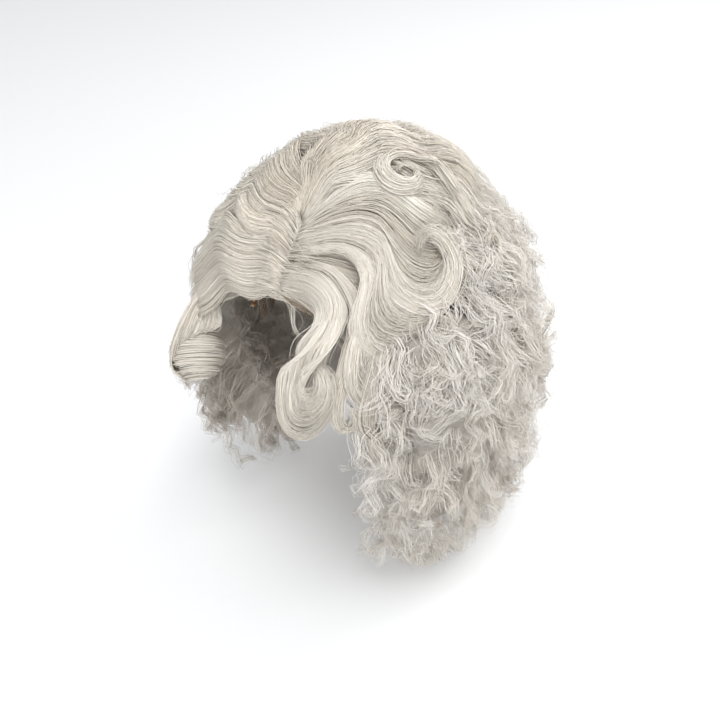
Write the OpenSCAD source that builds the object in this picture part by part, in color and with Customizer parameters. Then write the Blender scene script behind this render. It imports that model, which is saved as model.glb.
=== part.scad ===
// Costume wig: a sewn lace-front cap, its fittings and the hair masses that hang from it.
// The frame is the wearer's head: the origin is the middle of the head at the headband line,
// +Z is up, -Y is the way the face looks and +X is the wearer's left. Lengths are millimetres.

/* [Head form] */
// Half of the head's width that the cap fits
head_a = 78; // [74:1:82]
// Half of the head's length that the cap fits
head_b = 98; // [94:1:102]
// Height of the crown over the headband line
head_c = 108; // [104:1:112]

/* [Cap] */
// Thickness of the net and lace panels
net_t = 1.2; // [0.8:0.1:1.4]
// Gap between two sewn panels, in degrees around the head
seam_gap = 0.5; // [0.4:0.1:0.8]
// Distance from the head form to the under side of tapes and weft tracks
track_off = 2.0; // [1.9:0.1:2.4]
// Thickness of tapes and weft tracks
track_t = 1.2; // [0.8:0.1:1.3]
// Height of a weft track, in degrees of elevation
track_h = 2.4; // [1.8:0.2:3]
// Width of the sewn parting strip
part_w = 14; // [10:1:18]

/* [Hair] */
// Distance from the head form to the roots of the hair masses
root_off = 4.6; // [4.4:0.1:6]
// Extra room left between the ear tabs and the hair over them
tab_room = 12; // [10:1:14]
// Radius kept free around the neck
neck_r = 78; // [72:1:80]
// Radius of the big curl at the wearer's left brow
brow_r = 21; // [18:0.5:22]
// Radius of the rolled curl at the wearer's right temple
temple_r = 22; // [18:0.5:22]

/* [Fittings] */
// Number of teeth on a comb
comb_teeth = 11; // [7:2:13]
// Length of a comb's teeth
tooth_l = 15; // [10:1:17]
// Width of an adjuster strap
strap_w = 8; // [7.6:0.2:9]
// Radius of the hook's pivot bar
bar_r = 0.9; // [0.7:0.05:0.95]
// Running clearance round the hook's pivot bar, on the radius
bar_play = 0.08; // [0.05:0.01:0.1]

/* [Hidden] */
$fn = 32;

net_colour = [0.80, 0.71, 0.60];
lace_colour = [0.86, 0.78, 0.68];
tape_colour = [0.78, 0.70, 0.60];
track_colour = [0.88, 0.86, 0.80];
elastic_colour = [0.84, 0.80, 0.72];
comb_colour = [0.62, 0.50, 0.36];
steel_colour = [0.72, 0.72, 0.74];
hair_colour = [0.90, 0.87, 0.80];

// Elevation of the cap's edge against the angle from the face: hairline, temple, over the ear, nape.
rim_line = [[0, 40], [15, 38], [30, 28], [45, 18], [58, 12], [112, 12], [125, -14], [138, -36],
    [155, -45], [180, -43]];
// Elevation at which the lace and the lower panels end and the crown net starts.
crown_line = [[0, 57], [30, 46], [60, 36], [180, 36]];
// Distance from the head's middle to the outside of the hair, against elevation.
left_profile = [[-66, 248], [-60, 236], [-45, 202], [-30, 172], [-15, 156], [0, 150], [15, 146],
    [30, 139], [45, 134], [60, 135], [75, 143], [90, 153]];
right_profile = [[-66, 234], [-60, 228], [-45, 214], [-30, 190], [-15, 158], [0, 142], [15, 138],
    [30, 140], [45, 138], [60, 138], [75, 144], [90, 153]];
back_profile = [[-66, 222], [-60, 212], [-45, 190], [-30, 172], [-15, 160], [0, 154], [15, 148],
    [30, 141], [45, 136], [60, 137], [75, 147], [90, 153]];
front_profile = [[-66, 190], [-45, 170], [-15, 152], [0, 146], [15, 140], [30, 132], [45, 126],
    [60, 130], [75, 142], [90, 153]];
// Lower edge of the two front waves: it follows the hairline, then the temple.
left_wave_line = [[4, 42], [16, 37], [30, 29], [74, 29]];
right_wave_line = [[4, 42], [18, 38], [36, 27], [74, 26]];
// First and last angle from the face, and elevation, of each sewn weft track.
weft_rows = [[153, -38], [138, -27], [131, -14], [125, -2], [62, 19], [62, 30], [42, 44], [24, 57],
    [20, 69]];
lock_gap = 0.3;
part_dip_az = 30;
pin_az = 91;
pin_el = 73;
pin_rise = 142;
fine_step = 5;
hair_step = 6.5;

// ---- the head form and the surfaces measured from it ----

function turn(az) = let (a = abs((az + 180) % 360 - 180)) a > 180 ? 360 - a : a;
function ray(az, el) = [cos(el) * sin(az), -cos(el) * cos(az), sin(el)];
function form_r(az, el) = let (d = ray(az, el)) 1 / norm([d.x / head_a, d.y / head_b, d.z / head_c]);
function on_form(az, el, off) = (form_r(az, el) + off) * ray(az, el);
function at_offset(off) = function (az, el) on_form(az, el, off);
function rim(az) = lookup(turn(az), rim_line);
function crown_edge(az) = lookup(turn(az), crown_line);
function rise(x) = let (t = min(1, max(0, x))) t * t * (3 - 2 * t);

// The roots of the hair stand clear of the tracks, of the ear tabs and of the neck.
function root_r(az, el) =
    max(form_r(az, el) + root_off + tab_room * rise((98 - turn(az)) / 12) * rise((24 - el) / 10),
        el < 0 ? neck_r / cos(el) : 0);
function hair_root(az, el) = root_r(az, el) * ray(az, el);

// The pin curl lies in a hollow of the crown.
function pin_hollow(az, el) = 15 * exp(-pow(acos(min(1, ray(az, el) * ray(pin_az, pin_el))) / 16, 2));

// The outside blends the four profiles round the head and drops towards the parting.
function hair_r(az, el) =
    let (side = sin(az) > 0 ? left_profile : right_profile,
         front = pow(max(0, cos(az)), 2),
         back = pow(max(0, -cos(az)), 2),
         full = front * lookup(el, front_profile) + back * lookup(el, back_profile)
             + pow(sin(az), 2) * lookup(el, side) - pin_hollow(az, el),
         dip = rise(turn(az) / part_dip_az) * (1 - rise((el - 62) / 16)) + rise((el - 62) / 16))
    root_r(az, el) + 4 + (full - root_r(az, el) - 4) * (el > 20 ? max(0.15, dip) : 1);
function hair_top(az, el) = hair_r(az, el) * ray(az, el);

// ---- solids between two surfaces ----

// A closed patch: inner and outer are functions of (u, v), and v runs from lo(u) to hi(u).
module between(inner, outer, u0, u1, lo, hi, cols, rows) {
    n = (cols + 1) * (rows + 1);
    u = [for (i = [0:cols]) u0 + (u1 - u0) * i / cols];
    v = function (i, k) lo(u[i]) + (hi(u[i]) - lo(u[i])) * k / rows;
    a = function (i, k) i * (rows + 1) + k;
    b = function (i, k) n + a(i, k);
    points = concat(
        [for (i = [0:cols]) for (k = [0:rows]) inner(u[i], v(i, k))],
        [for (i = [0:cols]) for (k = [0:rows]) outer(u[i], v(i, k))]);
    skins = [for (i = [0:cols - 1]) for (k = [0:rows - 1]) each [
        [b(i, k), b(i, k + 1), b(i + 1, k + 1), b(i + 1, k)],
        [a(i, k), a(i + 1, k), a(i + 1, k + 1), a(i, k + 1)]]];
    sides = [for (k = [0:rows - 1]) each [
        [a(0, k), a(0, k + 1), b(0, k + 1), b(0, k)],
        [b(cols, k), b(cols, k + 1), a(cols, k + 1), a(cols, k)]]];
    ends = [for (i = [0:cols - 1]) each [
        [a(i, 0), b(i, 0), b(i + 1, 0), a(i + 1, 0)],
        [a(i, rows), a(i + 1, rows), b(i + 1, rows), b(i, rows)]]];
    polyhedron(points, concat(skins, sides, ends), convexity = 6);
}

// A closed dome: the same all the way round, from elevation lo(az) up to a pole.
module dome(inner, outer, lo, cols, rows) {
    n = cols * rows;
    az = [for (i = [0:cols - 1]) 360 * i / cols];
    el = function (i, k) lo(az[i]) + (90 - lo(az[i])) * k / rows;
    a = function (i, k) (i % cols) * rows + k;
    b = function (i, k) n + a(i, k);
    points = concat(
        [for (i = [0:cols - 1]) for (k = [0:rows - 1]) inner(az[i], el(i, k))],
        [for (i = [0:cols - 1]) for (k = [0:rows - 1]) outer(az[i], el(i, k))],
        [inner(0, 90), outer(0, 90)]);
    skins = [for (i = [0:cols - 1]) for (k = [0:rows - 2]) each [
        [b(i, k), b(i, k + 1), b(i + 1, k + 1), b(i + 1, k)],
        [a(i, k), a(i + 1, k), a(i + 1, k + 1), a(i, k + 1)]]];
    closing = [for (i = [0:cols - 1]) each [
        [b(i, rows - 1), 2 * n + 1, b(i + 1, rows - 1)],
        [a(i, rows - 1), a(i + 1, rows - 1), 2 * n],
        [a(i, 0), b(i, 0), b(i + 1, 0), a(i + 1, 0)]]];
    polyhedron(points, concat(skins, closing), convexity = 6);
}

function level(el) = function (az) el;
function steps(span, step) = max(1, ceil(abs(span) / step));

// A net or lace panel of the cap.
module panel(az0, az1, lo, hi, rows) {
    between(at_offset(0), at_offset(net_t), az0, az1, lo, hi, steps(az1 - az0, fine_step), rows);
}

// ---- cap ----

module lace_front() {
    color(lace_colour)
        panel(-59.5, 59.5, function (az) rim(az), function (az) crown_edge(az) - seam_gap, 4);
}

// A strip of even width over the crown: u is the distance across it, v the angle along it.
module parting_strip() {
    strip = function (off) function (x, v)
        let (k = sqrt(1 - pow(x / (head_a + off), 2)))
        [x, -(head_b + off) * k * cos(v), (head_c + off) * k * sin(v)];
    color(lace_colour)
        between(strip(track_off), strip(track_off + 0.8), -part_w / 2, part_w / 2,
            level(38.5), level(70), 4, 10);
}

module crown_net() {
    color(net_colour)
        dome(at_offset(0), at_offset(net_t), function (az) crown_edge(az), 48, 8);
}

module side_panel(s) {
    color(net_colour)
        mirror([s < 0 ? 1 : 0, 0, 0])
            panel(60, 122, function (az) rim(az), level(36 - seam_gap), 6);
}

module back_panel() {
    color(net_colour) panel(122.5, 237.5, level(-5), level(36 - seam_gap), 7);
}

module nape_panel() {
    color(net_colour) panel(122.5, 237.5, function (az) rim(az), level(-5 - seam_gap), 6);
}

module edge_tape() {
    tape_h = 4.6;
    color(tape_colour)
        between(at_offset(track_off), at_offset(track_off + track_t), 82, 278,
            function (az) rim(az), function (az) rim(az) + tape_h, 49, 1);
}

module weft_row(i) {
    row = weft_rows[i];
    color(track_colour)
        between(at_offset(track_off), at_offset(track_off + track_t), row[0], 360 - row[0],
            level(row[1]), level(row[1] + track_h), steps(360 - 2 * row[0], fine_step), 1);
}

// ---- ear tabs ----

tab_az = 70;
tab_half = 9;
tab_top = 12 - seam_gap;
tab_low = -10;

// Puts children at a point of the head form: x runs level towards the face, y out, z up the head.
module seat(az, el, off) {
    p = on_form(az, el, off);
    g = [p.x / pow(head_a, 2), p.y / pow(head_b, 2), p.z / pow(head_c, 2)];
    y = g / norm(g);
    across = cross(y, [0, 0, 1]);
    x = across / norm(across);
    z = cross(x, y);
    multmatrix([[x.x, y.x, z.x, p.x], [x.y, y.y, z.y, p.y], [x.z, y.z, z.z, p.z], [0, 0, 0, 1]])
        children();
}

module on_side(s) {
    mirror([s < 0 ? 1 : 0, 0, 0]) children();
}

module ear_tab(s) {
    color(lace_colour)
        on_side(s)
            panel(tab_az - tab_half, tab_az + tab_half,
                function (az) tab_low + 6 * pow((az - tab_az) / tab_half, 2), level(tab_top), 5);
}

// A springy steel strip that lies along the inside of the tab.
module tab_stay(s) {
    color(steel_colour)
        on_side(s)
            between(at_offset(-0.9), at_offset(-0.4), tab_az - 1.4, tab_az + 1.4,
                level(tab_low + 2), level(tab_top - 2), 1, 5);
}

// ---- combs ----

comb_off = 4.8;

// The spine lies along x and the teeth stand up along z.
module comb() {
    pitch = 2.9;
    tooth_r = 0.55;
    spine_r = 1.5;
    spine_l = pitch * (comb_teeth - 1) + 5;
    translate([-spine_l / 2, 0, 0]) rotate([0, 90, 0]) cylinder(r = spine_r, h = spine_l);
    for (e = [-1, 1])
        translate([e * spine_l / 2, 0, 0]) sphere(r = spine_r);
    for (i = [0:comb_teeth - 1])
        translate([(i - (comb_teeth - 1) / 2) * pitch, 0, 0]) {
            cylinder(r = tooth_r, h = tooth_l);
            translate([0, 0, tooth_l]) sphere(r = tooth_r);
        }
}

module temple_comb(s) {
    color(comb_colour) on_side(s) seat(50, 22, -comb_off) comb();
}

module nape_comb() {
    color(comb_colour) seat(180, -24, -comb_off) comb();
}

// ---- adjuster: an elastic strap, its slider, its hook and the eyes that the hook catches ----

adjuster_az = 150;
adjuster_el = -35;
adjuster_off = -9.5;
pivot_x = -10;
anchor_x = 30;
strap_t = 1.0;
loop_r = bar_r + bar_play;
loop_wall = 0.75;
eye_x = -18.2;
eye_pitch = 6;
eye_r = 0.6;
eye_y = 0.95;

module adjuster(s) {
    on_side(s) seat(adjuster_az, adjuster_el, adjuster_off) children();
}

module adjuster_strap(s) {
    stitched_l = 7;
    color(elastic_colour)
        adjuster(s)
            difference() {
                union() {
                    translate([pivot_x + 1.6, -strap_t / 2, -strap_w / 2])
                        cube([anchor_x - pivot_x - 1.6, strap_t, strap_w]);
                    translate([pivot_x, 0, -3.2]) cylinder(r = loop_r + loop_wall, h = 6.4);
                    translate([pivot_x, -strap_t / 2, -3.2]) cube([3, strap_t, 6.4]);
                    translate([anchor_x - stitched_l, strap_t / 2, -strap_w / 2])
                        cube([stitched_l, 0.8, strap_w]);
                }
                translate([pivot_x, 0, -6]) cylinder(r = loop_r, h = 12);
            }
}

// A flat frame round the strap with a bar across its window.
module strap_slider(s) {
    slider_l = 9;
    room = 0.35;
    wall = 0.9;
    high = strap_w + 2 * room;
    deep = strap_t + 2 * room;
    color(steel_colour)
        adjuster(s)
            translate([8, 0, 0])
                difference() {
                    translate([-slider_l / 2, -deep / 2 - wall, -high / 2 - wall])
                        cube([slider_l, deep + 2 * wall, high + 2 * wall]);
                    translate([-slider_l, -deep / 2, -high / 2])
                        cube([2 * slider_l, deep, high]);
                    for (e = [-1, 1])
                        translate([e * 2.1 - 1.2, -deep, -high / 2])
                            cube([2.4, 2 * deep, high]);
                }
}

// Two arms hold the pivot bar, a web joins them and a lip catches an eye from behind.
module strap_hook(s) {
    arm_z = 3.5;
    arm_t = 1.1;
    reach = -20.2;
    plate = 0.7;
    color(steel_colour)
        adjuster(s)
            union() {
                translate([pivot_x, 0, -arm_z - arm_t]) cylinder(r = bar_r, h = 2 * (arm_z + arm_t));
                for (z = [-arm_z - arm_t, arm_z])
                    translate([pivot_x, 0, z]) {
                        cylinder(r = 1.5, h = arm_t);
                        translate([-4.5, -1, 0]) cube([4.5, plate + 0.5, arm_t]);
                    }
                translate([reach, -1, -arm_z - arm_t])
                    cube([pivot_x - reach - 3, plate + 0.3, 2 * (arm_z + arm_t)]);
                translate([reach, -1, -2]) cube([0.8, 3.2, 4]);
            }
}

// Wire eyes stand on a tape, and the first one is hooked.
module hook_eyes(s) {
    eye_h = 6.4;
    tape_y = 2.9;
    color(steel_colour)
        adjuster(s)
            union() {
                translate([eye_x - eye_pitch - 2, tape_y, -strap_w / 2]) cube([eye_pitch + 4, 0.8, strap_w]);
                for (i = [0, 1])
                    translate([eye_x - i * eye_pitch, eye_y, 0]) {
                        translate([0, 0, -eye_h / 2]) cylinder(r = eye_r, h = eye_h);
                        for (e = [-1, 1])
                            translate([0, 0, e * (eye_h / 2 - eye_r)])
                                rotate([-90, 0, 0]) cylinder(r = eye_r, h = tape_y - eye_y + 0.2);
                    }
            }
}

// ---- hair masses ----

// A mass from one angle round the face to another, with a little room left at every edge.
module hair_mass(az0, az1, el0, el1) {
    hair_between(az0, az1, level(el0 + lock_gap), el0, el1);
}

module hair_between(az0, az1, low, el0, el1) {
    color(hair_colour)
        between(function (u, v) hair_root(u, v), function (u, v) hair_top(u, v),
            az0 + lock_gap, az1 - lock_gap, low, level(el1 - lock_gap),
            steps(az1 - az0, hair_step), steps(el1 - el0, hair_step));
}

module front_wave_left() {
    hair_between(4, 74, function (az) lookup(turn(az), left_wave_line) + lock_gap, 29, 68);
}

module front_wave_right() {
    hair_between(-74, -4, function (az) lookup(turn(az), right_wave_line) + lock_gap, 26, 68);
}

module crown_hair() {
    color(hair_colour)
        dome(function (u, v) hair_root(u, v), function (u, v) hair_top(u, v), level(68 + lock_gap),
            48, 4);
}

// A rolled swirl that lies on the crown, towards the wearer's left.
module pin_curl() {
    swirl_r = 15;
    roll_r = 7.5;
    color(hair_colour)
        translate(pin_rise * ray(pin_az, pin_el))
            rotate([0, 0, pin_az - 90])
                rotate([0, 90 - pin_el, 0])
                    rotate_extrude() translate([swirl_r, 0]) circle(r = roll_r);
}

brow_hinge = [42, -109, 62];
temple_hinge = [-72, -106, 34];

module brow_curl_left() {
    color(hair_colour)
        translate(brow_hinge)
            hull() {
                translate([0, 0, -9]) sphere(r = 9, $fn = 24);
                translate([0, 0, -34]) sphere(r = brow_r - 3, $fn = 24);
                translate([0, 0, -44]) sphere(r = brow_r, $fn = 24);
            }
}

module temple_curl_right() {
    color(hair_colour)
        translate(temple_hinge)
            hull() {
                translate([0, 0, -9]) sphere(r = 9, $fn = 24);
                translate([0, 0, -32]) sphere(r = temple_r, $fn = 24);
            }
}

lace_front();
parting_strip();
crown_net();
side_panel(1);  // side_panel_left
side_panel(-1);  // side_panel_right
back_panel();
nape_panel();
edge_tape();
ear_tab(1);  // ear_tab_left
ear_tab(-1);  // ear_tab_right
tab_stay(1);  // tab_stay_left
tab_stay(-1);  // tab_stay_right
for (i = [0:len(weft_rows) - 1])
    weft_row(i);
temple_comb(1);  // temple_comb_left
temple_comb(-1);  // temple_comb_right
nape_comb();
adjuster_strap(1);  // adjuster_strap_left
adjuster_strap(-1);  // adjuster_strap_right
strap_slider(1);  // strap_slider_left
strap_slider(-1);  // strap_slider_right
strap_hook(1);  // strap_hook_left
strap_hook(-1);  // strap_hook_right
hook_eyes(1);  // hook_eyes_left
hook_eyes(-1);  // hook_eyes_right
crown_hair();
front_wave_left();
front_wave_right();
hair_mass(74, 130, 29, 68);  // upper_hair_left
hair_mass(130, 230, 29, 68);  // upper_hair_back
hair_mass(230, 286, 26, 68);  // upper_hair_right
hair_mass(38, 119, -9, 29);  // side_hair_left
hair_mass(119, 230, -9, 29);  // mid_hair_back
hair_mass(-130, -57, -9, 26);  // side_hair_right
hair_mass(38, 119, -39, -9);  // cheek_curls_left
hair_mass(119, 241, -39, -9);  // low_hair_back
hair_mass(-119, -50, -39, -9);  // cheek_curls_right
hair_mass(44, 119, -66, -39);  // shoulder_curls_left
hair_mass(119, 241, -66, -39);  // nape_curls
hair_mass(-119, -48, -66, -39);  // shoulder_curls_right
pin_curl();
brow_curl_left();
temple_curl_right();
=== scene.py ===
"""Looks of the costume wig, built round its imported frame.

The wig is a sewn cap with hair tied into it. The cap's cut pieces are smoothed and dressed as lace,
net, tape and weft. The hair is made strand by strand. Every strand is a thin closed tube, laid along
guides for the combed waves, rolls and coils, and along loose ringlets for the frizzy body. Beds of
packed hair lie under the strands. Lengths are metres and angles are degrees, in the wearer's frame:
azimuth 0 is the face (-Y), 90 is the wearer's left (+X), and elevation rises to the crown (+Z).
"""

from __future__ import annotations

import logging
import math
from dataclasses import dataclass, field
from enum import Enum
from typing import Sequence

import bmesh
import bpy
import numpy as np
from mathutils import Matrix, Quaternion, Vector
from mathutils.bvhtree import BVHTree

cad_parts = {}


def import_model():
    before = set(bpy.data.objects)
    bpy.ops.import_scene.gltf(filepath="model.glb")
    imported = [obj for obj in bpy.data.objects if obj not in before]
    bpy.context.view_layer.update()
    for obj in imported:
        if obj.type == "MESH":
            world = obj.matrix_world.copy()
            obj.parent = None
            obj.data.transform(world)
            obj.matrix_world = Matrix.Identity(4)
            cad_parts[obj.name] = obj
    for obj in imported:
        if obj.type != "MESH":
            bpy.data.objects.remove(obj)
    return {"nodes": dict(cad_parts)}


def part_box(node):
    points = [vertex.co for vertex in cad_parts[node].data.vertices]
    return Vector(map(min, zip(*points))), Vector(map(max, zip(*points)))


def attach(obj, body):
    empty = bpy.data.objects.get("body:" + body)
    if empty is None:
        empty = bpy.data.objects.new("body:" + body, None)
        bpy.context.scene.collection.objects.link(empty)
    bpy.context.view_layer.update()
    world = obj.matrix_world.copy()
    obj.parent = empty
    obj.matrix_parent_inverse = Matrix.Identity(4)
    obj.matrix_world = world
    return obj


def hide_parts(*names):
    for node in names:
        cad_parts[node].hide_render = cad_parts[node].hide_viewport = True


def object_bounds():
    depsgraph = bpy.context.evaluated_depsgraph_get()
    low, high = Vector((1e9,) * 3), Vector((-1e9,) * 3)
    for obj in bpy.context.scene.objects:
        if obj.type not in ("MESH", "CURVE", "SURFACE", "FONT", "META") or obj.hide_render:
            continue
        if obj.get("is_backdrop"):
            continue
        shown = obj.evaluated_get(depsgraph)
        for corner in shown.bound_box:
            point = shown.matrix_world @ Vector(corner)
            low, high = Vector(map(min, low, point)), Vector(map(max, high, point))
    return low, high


log = logging.getLogger("wig")
MM = 0.001
Guide = Sequence[tuple[float, float, float]]


# ---- directions, splines and noise ----


def rays(azimuth: np.ndarray, elevation: np.ndarray) -> np.ndarray:
    """Unit vectors from the middle of the head.

    Args:
        azimuth: angles from the face, in degrees.
        elevation: angles above the headband, in degrees.

    Returns:
        An array with one more axis, of length 3.
    """
    az, el = np.radians(azimuth), np.radians(elevation)
    return np.stack([np.cos(el) * np.sin(az), -np.cos(el) * np.cos(az), np.sin(el)], -1)


def angles(points: np.ndarray) -> tuple[np.ndarray, np.ndarray]:
    """Azimuth and elevation, in degrees, of points seen from the middle of the head."""
    az = np.degrees(np.arctan2(points[..., 0], -points[..., 1]))
    el = np.degrees(np.arctan2(points[..., 2], np.hypot(points[..., 0], points[..., 1])))
    return az, el


def unit(v: np.ndarray) -> np.ndarray:
    """The vectors scaled to length one."""
    return v / np.maximum(np.linalg.norm(v, axis=-1, keepdims=True), 1e-9)


def rise(t: np.ndarray) -> np.ndarray:
    """A smooth step from 0 to 1."""
    t = np.clip(t, 0, 1)
    return t * t * (3 - 2 * t)


def ripple(angle: np.ndarray) -> np.ndarray:
    """The sine of an angle in degrees."""
    return np.sin(np.radians(angle))


def spline(points: np.ndarray, count: int) -> np.ndarray:
    """A smooth line through points, evenly spaced along its length.

    Args:
        points: the points to pass through, (n, 3).
        count: how many points the line has.

    Returns:
        The line, (count, 3).
    """
    p = np.vstack([2 * points[0] - points[1], points, 2 * points[-1] - points[-2]])
    t = np.linspace(0, len(points) - 1, 12 * len(points))
    i = np.minimum(t.astype(int), len(points) - 2)
    f = (t - i)[:, None]
    a, b, c, d = p[i], p[i + 1], p[i + 2], p[i + 3]
    square, cube = 2 * a - 5 * b + 4 * c - d, 3 * b - a - 3 * c + d
    fine = 0.5 * (2 * b + (c - a) * f + square * f**2 + cube * f**3)
    run = np.concatenate([[0], np.cumsum(np.linalg.norm(np.diff(fine, axis=0), axis=1))])
    want = np.linspace(0, run[-1], count)
    return np.stack([np.interp(want, run, fine[:, k]) for k in range(3)], -1)


def trimmed(paths: np.ndarray, start: np.ndarray, end: np.ndarray) -> np.ndarray:
    """Paths shortened at both ends.

    Args:
        paths: the paths, (n, points, 3).
        start: the share of each path where it now starts.
        end: the share where it now ends.

    Returns:
        The paths, with as many points as before.
    """
    points = paths.shape[1]
    t = start[:, None] + (end - start)[:, None] * np.linspace(0, 1, points)[None]
    x = np.clip(t, 0, 1) * (points - 1)
    i = np.minimum(x.astype(int), points - 2)
    f = (x - i)[..., None]
    row = np.arange(len(paths))[:, None]
    return paths[row, i] * (1 - f) + paths[row, i + 1] * f


# ---- the head form and the hair's outline, both read from the frame ----


@dataclass(frozen=True)
class HeadForm:
    """The ellipsoid that the cap is sewn to fit."""

    half_width: float = 78 * MM
    half_length: float = 98 * MM
    height: float = 108 * MM

    def point(self, azimuth: np.ndarray, elevation: np.ndarray, lift: np.ndarray) -> np.ndarray:
        """Points at a height over the form.

        Args:
            azimuth: angles from the face.
            elevation: angles above the headband.
            lift: heights over the form, in metres.

        Returns:
            The points, with one more axis, of length 3.
        """
        ray = rays(np.asarray(azimuth, float), np.asarray(elevation, float))
        axes = np.array([self.half_width, self.half_length, self.height])
        radius = 1 / np.linalg.norm(ray / axes, axis=-1)
        return ray * (radius + np.asarray(lift, float))[..., None]

    def guide(self, points: Guide) -> np.ndarray:
        """A guide's points (azimuth, elevation, millimetres over the form) as places, (n, 3)."""
        table = np.array(points, float)
        return self.point(table[:, 0], table[:, 1], table[:, 2] * MM)


HAIR_NODES = ("crown_hair", "front_wave_left", "front_wave_right", "upper_hair_left",
              "upper_hair_back", "upper_hair_right", "side_hair_left", "mid_hair_back",
              "side_hair_right", "cheek_curls_left", "low_hair_back", "cheek_curls_right",
              "shoulder_curls_left", "nape_curls", "shoulder_curls_right",)  # fmt: skip


class Outline:
    """The roots and the outside of the hair in every direction, and the node that lies there."""

    step = 4  # degrees from one probe to the next
    reach = 0.5  # metres, past all the hair
    core = 0.04  # metres, inside all the roots

    def __init__(self, nodes: dict[str, bpy.types.Object]) -> None:
        """Casts rays at the hair nodes.

        Args:
            nodes: the frame's nodes by name.
        """
        corners, faces, self.owner = [], [], []
        for index, name in enumerate(HAIR_NODES):
            mesh = nodes[name].data
            start = len(corners)
            corners += [v.co.copy() for v in mesh.vertices]
            mesh.calc_loop_triangles()
            faces += [[start + i for i in t.vertices] for t in mesh.loop_triangles]
            self.owner += [index] * len(mesh.loop_triangles)
        self.tree = BVHTree.FromPolygons(corners, faces)
        self.az = np.arange(-180, 181, self.step)
        self.el = np.arange(-88, 91, self.step)
        shape = (len(self.az), len(self.el))
        self.top, self.root = np.full(shape, np.nan), np.full(shape, np.nan)
        self.node = np.full(shape, -1)
        for i, az in enumerate(self.az):
            for k, el in enumerate(self.el):
                self._probe(i, k, rays(az + 0.1, min(el, 89.5)))
        self.node = self._spread(self.node.astype(float), self.node < 0, nearest=True).astype(int)
        self.top = self._smooth(self._spread(self.top, np.isnan(self.top)))
        self.root = self._spread(self.root, np.isnan(self.root))

    def _probe(self, i: int, k: int, ray: np.ndarray) -> None:
        """Measures one direction and keeps what it finds in cell (i, k)."""
        direction = Vector(ray)
        outside = self.tree.ray_cast(direction * self.reach, -direction)
        inside = self.tree.ray_cast(direction * self.core, direction)
        if outside[0] is not None and inside[0] is not None:
            self.top[i, k] = outside[0].length
            self.root[i, k] = inside[0].length
            self.node[i, k] = self.owner[outside[2]]

    @staticmethod
    def _spread(grid: np.ndarray, empty: np.ndarray, nearest: bool = False) -> np.ndarray:
        """Fills the empty cells of a grid from their neighbours, outwards from the full ones."""
        grid, empty = grid.copy(), empty.copy()
        while empty.any():
            total, count = np.zeros_like(grid), np.zeros_like(grid)
            for axis, shift in ((0, 1), (0, -1), (1, 1), (1, -1)):
                value = np.roll(grid, shift, axis)
                full = ~np.roll(empty, shift, axis)
                if axis == 1:
                    full[:, 0 if shift == 1 else -1] = False
                if nearest:
                    total = np.where(full & (count == 0), value, total)
                    count = np.maximum(count, full)
                else:
                    total += np.where(full, value, 0)
                    count += full
            found = empty & (count > 0)
            grid[found] = total[found] / count[found]
            empty &= ~found
        return grid

    @staticmethod
    def _smooth(grid: np.ndarray) -> np.ndarray:
        """The grid blurred a little, round the head and up it."""
        padded = np.pad(grid, ((1, 1), (0, 0)), "wrap")
        padded = np.pad(padded, ((0, 0), (1, 1)), "edge")
        return (
            grid * 0.4
            + 0.15 * (padded[:-2, 1:-1] + padded[2:, 1:-1])
            + 0.15 * (padded[1:-1, :-2] + padded[1:-1, 2:])
        )

    def _sample(self, grid: np.ndarray, az: np.ndarray, el: np.ndarray) -> np.ndarray:
        """Reads a grid between its cells."""
        x = ((az + 180) % 360) / self.step
        y = np.clip((el - self.el[0]) / self.step, 0, len(self.el) - 1.001)
        i, k = np.minimum(x.astype(int), len(self.az) - 2), y.astype(int)
        fx, fy = x - i, y - k
        low = grid[i, k] * (1 - fx) + grid[i + 1, k] * fx
        high = grid[i, k + 1] * (1 - fx) + grid[i + 1, k + 1] * fx
        return low * (1 - fy) + high * fy

    def place(self, az: np.ndarray, el: np.ndarray, depth: np.ndarray) -> np.ndarray:
        """Points in the hair: depth 0 is at the roots and depth 1 on the outside."""
        root, top = self._sample(self.root, az, el), self._sample(self.top, az, el)
        return rays(az, el) * (root + (top - root) * depth)[..., None]

    def radius(self, az: np.ndarray, el: np.ndarray) -> np.ndarray:
        """The distance from the middle of the head to the outside of the hair."""
        return self._sample(self.top, az, el)

    def owners(self, points: np.ndarray) -> np.ndarray:
        """The index in HAIR_NODES of the node that each point lies in or next to."""
        az, el = angles(points)
        i = np.round(((az + 180) % 360) / self.step).astype(int) % len(self.az)
        k = np.clip(np.round((el - self.el[0]) / self.step).astype(int), 0, len(self.el) - 1)
        return self.node[i, k]


# ---- shader maths ----


class Sock:
    """A shader socket that Python's operators add Math nodes to."""

    def __init__(self, tree: "Tree", socket: bpy.types.NodeSocket) -> None:
        """Keeps the socket and the tree that it belongs to."""
        self.tree, self.socket = tree, socket

    def _math(self, operation: str, *values: object) -> "Sock":
        """A Math node's result, with values as its inputs in order."""
        return self.tree.node("ShaderNodeMath", {"operation": operation}, dict(enumerate(values)))

    def __add__(self, other: object) -> "Sock":
        """This plus other."""
        return self._math("ADD", self, other)

    def __sub__(self, other: object) -> "Sock":
        """This minus other."""
        return self._math("SUBTRACT", self, other)

    def __rsub__(self, other: object) -> "Sock":
        """Other minus this."""
        return self._math("SUBTRACT", other, self)

    def __mul__(self, other: object) -> "Sock":
        """This times other."""
        return self._math("MULTIPLY", self, other)

    def __pow__(self, other: object) -> "Sock":
        """This to the power of other."""
        return self._math("POWER", self, other)

    def __gt__(self, other: object) -> "Sock":
        """1 where this is greater than other, and 0 elsewhere."""
        return self._math("GREATER_THAN", self, other)

    __radd__, __rmul__ = __add__, __mul__

    def wave(self) -> "Sock":
        """The sine of this, moved into 0 to 1."""
        return self._math("SINE", self) * 0.5 + 0.5

    def most(self, other: object) -> "Sock":
        """The greater of this and other."""
        return self._math("MAXIMUM", self, other)


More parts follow.
